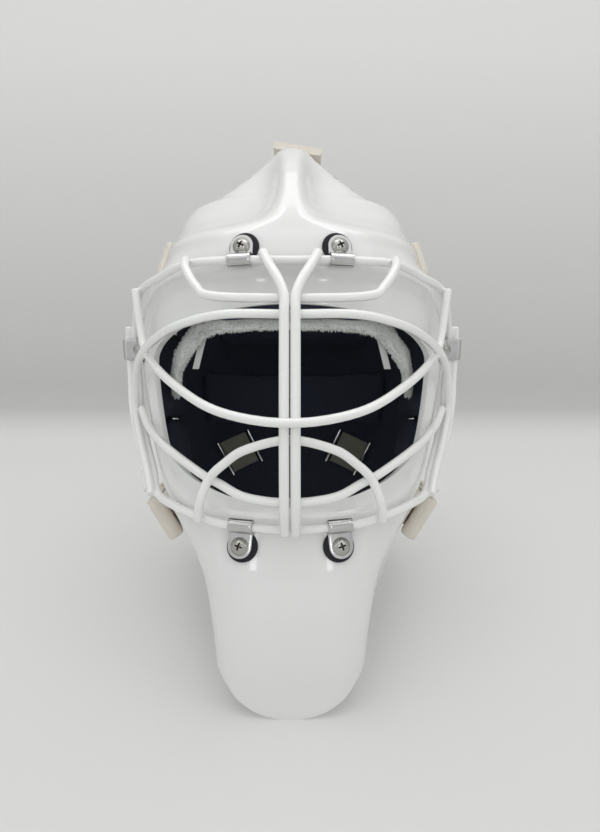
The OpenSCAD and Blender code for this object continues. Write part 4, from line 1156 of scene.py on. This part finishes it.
shellPad("foreheadPad", (250, 281, -1.06, 1.06), lining["seat"] + wall["recess"] + lining["deeper"],
         lining["forehead"] - wall["recess"] - lining["deeper"], "forehead_pad")
shellPad("templePad", (183.0, 262, 1.37, 2.9), lining["seat"], lining["side"], "temple_pad_left", "temple_pad_right",
         grow=lining["grow"])
shellPad("cheekPad", (144, 183.4, 1.69, 2.9), lining["seat"], lining["side"], "cheek_pad_left", "cheek_pad_right")
shellPad("jawPad", (92, 130, 2.3, 2.9), lining["seat"] + lining["jawIn"], lining["side"] - lining["jawLess"],
         "jaw_pad_left", "jaw_pad_right")
shellPad("crownPad", (357, 378, 1.2, 2.8), lining["seat"], lining["side"] - lining["crownLess"], "crown_pad_left",
         "crown_pad_right")


def platePad(name, w0, w1, reach, node):
    def place(u, v, share):
        depth = plate["thick"] + plate["gap"] + 0.4 + (plate["pad"] - 1.0) * share
        return platePoint(w0 + (w1 - w0) * u, reach * (1 - 2 * v), depth)

    across = platePoint((w0 + w1) / 2, np.linspace(-reach, reach, 30), 8.0)
    wide = float(np.linalg.norm(np.diff(across, axis=0), axis=1).sum())
    piece = padForm(name, place, (w1 - w0, wide), 10.0)
    swollen(piece)
    dressed(piece, "lining_foam", "back_plate", node)


platePad("backPadUpper", 255, 335, 0.5, "back_pad_upper")
platePad("backPadLower", 180, 230, 0.625, "back_pad_lower")
print("pads done")

# sweatband: a plump terry tube with its loops standing out, and two small tapes on it
band = {"route": [[0, 254.5], [0.4, 254], [0.66, 251.5], [0.8, 243], [0.95, 230], [1.12, 216], [1.4, 206]],
        "height": 17.0, "thick": 4.5, "gap": 0.3, "squareness": 0.55, "loops": 5200, "loopLong": 2.0,
        "loopWide": 0.34, "seed": 4, "endFade": 0.16, "plump": 1.15, "rooted": 1.1, "lumpDeep": 0.10, "lumpHigh": 0.03,
        "strayAlong": 0.012, "strayUp": 0.5, "shortest": 0.45, "within": 0.985,
        "tab": (220.0, 244.0, 0.815, 0.065, 0.0042, 1.2)}


def bandPlace(s, depth, up):
    table = np.array([[i, *r] for i, r in enumerate(band["route"])], float)
    row = at(table, np.abs(s))
    w, c = row[..., 2] + up, row[..., 1]
    p = skin(w, c) - outward(w, c) * np.asarray(depth)[..., None]
    return p * np.stack([np.where(s < 0, -1, 1), np.ones_like(s), np.ones_like(s)], -1)


def oblong(angle):
    # the two shares of a rounded oblong section
    return [np.sign(f) * np.abs(f) ** band["squareness"] for f in (np.cos(angle), np.sin(angle))]


def makeBand():
    last = len(band["route"]) - 1
    depth0 = lining["seat"] + lining["forehead"] + band["gap"]
    s = np.linspace(-last, last, 150)
    turn = np.radians(np.linspace(0, 360, 41))
    across, up = oblong(turn)
    # closed at its two ends by drawing in
    endShare = np.clip((last - np.abs(s)) / band["endFade"], 0.02, 1) ** 0.5
    rng = np.random.default_rng(band["seed"])
    lumps = rng.normal(0, 1, (len(s), 41))
    for _ in range(3):
        lumps = (lumps + np.roll(lumps, 1, 0) + np.roll(lumps, 1, 1) + np.roll(lumps, -1, 0)
                 + np.roll(lumps, -1, 1)) / 5
    lumps[:, -1] = lumps[:, 0]
    plump = 1.0 + band["lumpDeep"] * lumps / lumps.std()
    half = band["thick"] / 2
    grid = bandPlace(np.broadcast_to(s[:, None], (150, 41)),
                     depth0 + half + half * band["plump"] * (across * endShare[:, None]) * plump,
                     band["height"] / 2 * (up * (0.4 + 0.6 * endShare[:, None])) * (1 + band["lumpHigh"] * lumps))
    piece = gridPiece("sweatband", world(grid))
    editAll(piece, (bpy.ops.mesh.remove_doubles, {"threshold": 2e-5}),
            (bpy.ops.mesh.normals_make_consistent, {"inside": False}))
    # loops of the terry, each a small bent tuft
    count = band["loops"]
    ss = rng.uniform(-last * band["within"], last * band["within"], count)
    aa = rng.uniform(0, 2 * math.pi, count)
    cross, rise = oblong(aa)
    out = half * band["rooted"]
    root = bandPlace(ss, depth0 + half + out * cross, band["height"] / 2 * rise)
    tip = bandPlace(ss + rng.normal(0, band["strayAlong"], count),
                    depth0 + half + (out + band["loopLong"] * 0.8) * cross,
                    (band["height"] / 2 + band["loopLong"] * 0.7) * rise + rng.normal(0, band["strayUp"], count))
    reach = rng.uniform(band["shortest"], 1.0, count)[:, None]
    tip = root + (tip - root) * reach
    lead = unit(tip - root)
    side = unit(np.cross(lead, rng.normal(0, 1, (count, 3))))
    other = np.cross(lead, side)
    wide = band["loopWide"]
    middle = (root + tip) / 2
    thirds = [math.cos(a) * side + math.sin(a) * other for a in (0, 2.09, 4.19)]
    verts = np.stack([root - lead * 0.4 + wide * t for t in thirds] + [middle + wide * 0.9 * t for t in thirds]
                     + [tip], 1)
    faces = []
    for a, b in ((0, 1), (1, 2), (2, 0)):
        faces += [(a, b, b + 3), (a, b + 3, a + 3), (a + 3, b + 3, 6)]
    faces = (np.array(faces)[None] + 7 * np.arange(count)[:, None, None]).reshape(-1, 3)
    mesh = bpy.data.meshes.new("loops")
    mesh.from_pydata(world(verts.reshape(-1, 3)).tolist(), [], faces.tolist())
    loops = bpy.data.objects.new("loops", mesh)
    scene.collection.objects.link(loops)
    piece = joined("sweatband", [loops, piece])
    smoothed(piece, 70)
    dressed(piece, "terry_grey", "mask", "sweatband")
    w0, w1, column, wide, slant, thick = band["tab"]
    depth = lining["seat"] + lining["forehead"] + band["thick"] + 3 * band["gap"]
    w, share = np.meshgrid(np.linspace(w0, w1, 14), np.linspace(0, 1, 7), indexing="ij")
    c = column - slant * (w - w0) + wide * share
    face = skin(w, c) - outward(w, c) * (depth + 0.05 + 0.25 * np.sin((w - w0) / (w1 - w0) * math.pi))[..., None]
    tab = gridPiece("sweatbandTabs", world(face), share * wide * 0.1, (w - w0) / 1000)
    applied(tab, "SOLIDIFY", thickness=thick / 1000, offset=-1)
    rounded(tab, 0.0004)
    tabs = joined("sweatbandTabs", [copied(tab, flipX), tab])
    dressed(smoothed(tabs, 50), "tab_white", "mask", "sweatband_tabs")


makeBand()
print("sweatband done")

# chin cup, its straps and snaps
cup = {"at": (0.0, -58.0, 104.0), "wide": 34.0, "deep": 42.0, "tall": 26.0, "thick": 5.0}


def cupPoint(u, v, d):
    u, v = np.radians(u), np.radians(v)
    wide, deep, tall = (cup[key] - d for key in ("wide", "deep", "tall"))
    return np.array(cup["at"]) + np.stack([wide * np.sin(u) * np.cos(v), -deep * np.cos(u) * np.cos(v),
                                           -tall * np.sin(v) + 0 * u], -1)


def makeCup():
    u, v = np.meshgrid(np.linspace(-84, 84, 61), np.linspace(0, 65, 25), indexing="ij")
    outside = gridPiece("chinCup", world(cupPoint(u, v, 0.0)))
    applied(outside, "SOLIDIFY", thickness=cup["thick"] / 1000 - 0.0004, offset=-1)
    rounded(outside, 0.0016, 3)
    dressed(smoothed(outside, 45), "cup_black", "mask", "chin_cup")
    place = np.array(cup["at"])
    thick = straps["chin"][1]
    upright = np.array([0, 0, 1.0])
    stops = [(place + [cup["wide"] + 0.3, -4, -8], upright), (place + [cup["wide"] + 6, -3, -8], upright),
             (place + [cup["wide"] + 14, -3, -7], unit(np.array([0.2, 0, 1])))]
    stops += [inShell(98, c, thick / 2 + straps["gap"]) for c in (1.9, 1.84)]
    dressedPair(strapPiece("chinStrap", stops, straps["chin"], 1.5), "chinStrap", "webbing_cream", "mask", "chin_strap")
    r, h, gap = rivets["snap"]
    snap = turned("snap", [(0.6, h), (r * 0.45, h * 0.98), (r * 0.62, h * 0.9), (r * 0.9, h * 0.7), (r * 0.98, h * 0.4),
                           (r, 0)], 36)
    up = unit(np.cross(stops[-1][1], stops[-1][0] - stops[-2][0]))
    spot = facing(stops[-1][0] * 0.6 + stops[-2][0] * 0.4 - up * (thick / 2 + gap), -up)
    snaps = joined("chinSnaps", atBoth(snap, spot))
    bpy.data.objects.remove(snap)
    dressed(smoothed(snaps, 35), "rivet_steel", "mask", "chin_snaps")


makeCup()

# keeper tapes inside the back plate, a little turned, and the rods at their ends
keepers = {"at": (153.0, 0.388), "turn": 20.0, "gap": 0.9, "thick": 1.5, "long": 31.0, "wide": 30.0,
           "perColumn": 143.0, "rod": 3.0, "rodGap": 0.8, "over": 2.0}


def keeperPoint(s, t, d):
    turn = math.radians(keepers["turn"])
    return platePoint(keepers["at"][0] - s * math.sin(turn) + t * math.cos(turn),
                      keepers["at"][1] + (s * math.cos(turn) + t * math.sin(turn)) / keepers["perColumn"], d)


def makeKeepers():
    s, t = np.meshgrid(np.linspace(keepers["long"] / 2, -keepers["long"] / 2, 26),
                       np.linspace(-keepers["wide"] / 2, keepers["wide"] / 2, 24), indexing="ij")
    crown = 0.35 * np.sin(math.pi * (0.5 + s / keepers["long"]))
    depth = plate["thick"] + keepers["gap"] + keepers["thick"] - 0.4 + crown
    right = gridPiece("keeper", world(keeperPoint(s, t, depth)), s / 1000, t / 1000)
    editAll(right, (bpy.ops.mesh.normals_make_consistent, {"inside": False}))
    toFront = faceNormals(right).mean(0)[1] < 0
    applied(right, "SOLIDIFY", thickness=(keepers["thick"] - 0.4) / 1000, offset=-1 if toFront else 1)
    dressedPair(smoothed(rounded(right, 0.0004), 50), "keeper", "tape_olive", "back_plate", "keeper")
    rods = []
    r = keepers["rod"] / 2
    depth = plate["thick"] + r + keepers["rodGap"]
    reach = keepers["long"] / 2 + r + 1.8
    for s in (-reach, reach):
        low, high = (keeperPoint(s, way * (keepers["wide"] / 2 + keepers["over"]), depth) for way in (-1, 1))
        long = float(np.linalg.norm(high - low))
        rod = turned("rod", [(r * 0.35, long), (r * 0.8, long - 0.25), (r, long - 0.9), (r, 0.9), (r * 0.8, 0.25),
                             (r * 0.35, 0)], 24)
        rods += atBoth(rod, facing(low, high - low))
        bpy.data.objects.remove(rod)
    dressed(smoothed(joined("strapSlides", rods), 40), "rod_steel", "back_plate", "strap_slides")


makeKeepers()
print("chin cup and keepers done")

# everything still in CAD keeps its shape and takes its finish
wantedSlots = {entry["node"]: entry.get("material_slot") for entry in frame["record"]["subparts"]}
for name, node in frame["nodes"].items():
    if not node.hide_render and wantedSlots.get(name) in finishes:
        node.data.materials.clear()
        node.data.materials.append(finishes[wantedSlots[name]])


# floor and backdrop
# foot is a darker colour painted along the bottom of the wall as painted shade
sweep = {"wallAt": 0.42, "radius": 0.07, "width": 3.0, "front": -1.6, "height": 2.2, "own": 0.36, "ownLevel": 0.97,
         "floor": (0.71, 0.71, 0.695), "foot": (0.50, 0.50, 0.487), "wall": (0.75, 0.75, 0.735)}
radius = sweep["radius"]
profile = [(sweep["front"], 0.0), (-0.4, 0.0), (0.0, 0.0), (sweep["wallAt"] - radius, 0.0)]
for k in range(1, 9):
    a = math.radians(90 * k / 8)
    profile.append((sweep["wallAt"] - radius + radius * math.sin(a), radius * (1 - math.cos(a))))
profile += [(sweep["wallAt"], 0.5), (sweep["wallAt"], sweep["height"])]
xs = np.linspace(-sweep["width"], sweep["width"], 5)
backdrop = gridPiece("backdrop", np.array([[[x, y, z] for x in xs] for y, z in profile]))
smoothed(backdrop, 60)
paper, m, shader = surface("backdropPaper", sweep["floor"], 0.9)
where = m.node("ShaderNodeSeparateXYZ", Vector=m.node("ShaderNodeTexCoord").outputs["Object"])
# the wall is painted darker towards its foot and lighter towards its top: painted shade and light
foot = m.mix(m.ramp(where.outputs[2], 0.0, 0.035, 0.0, 1.0), (*sweep["floor"], 1), (*sweep["foot"], 1))
tone = m.mix(m.ramp(where.outputs[2], 0.035, 0.5, 0.0, 1.0), foot, (*sweep["wall"], 1))
# part of its tone is its own, for the camera and for reflections, so that the shadows on it stay light
rays = m.node("ShaderNodeLightPath").outputs
watched = m.math("MAXIMUM", rays["Is Camera Ray"], rays["Is Glossy Ray"])
rest = 1 - sweep["own"]
dimmed = m.mix(1.0, tone, (rest, rest, rest, 1), "MULTIPLY")
m.feed(shader, "Base Color", m.mix(watched, tone, dimmed))
m.feed(shader, "Emission Color", tone)
m.feed(shader, "Emission Strength", m.math("MULTIPLY", watched, sweep["own"] * sweep["ownLevel"]))
# a camera behind the sweep looks through it
seenThrough = m.math("MULTIPLY", m.node("ShaderNodeNewGeometry").outputs["Backfacing"], rays["Is Camera Ray"])
m.feed(shader, "Alpha", m.math("SUBTRACT", 1.0, seenThrough))
backdrop.data.materials.append(paper)
print("backdrop done")
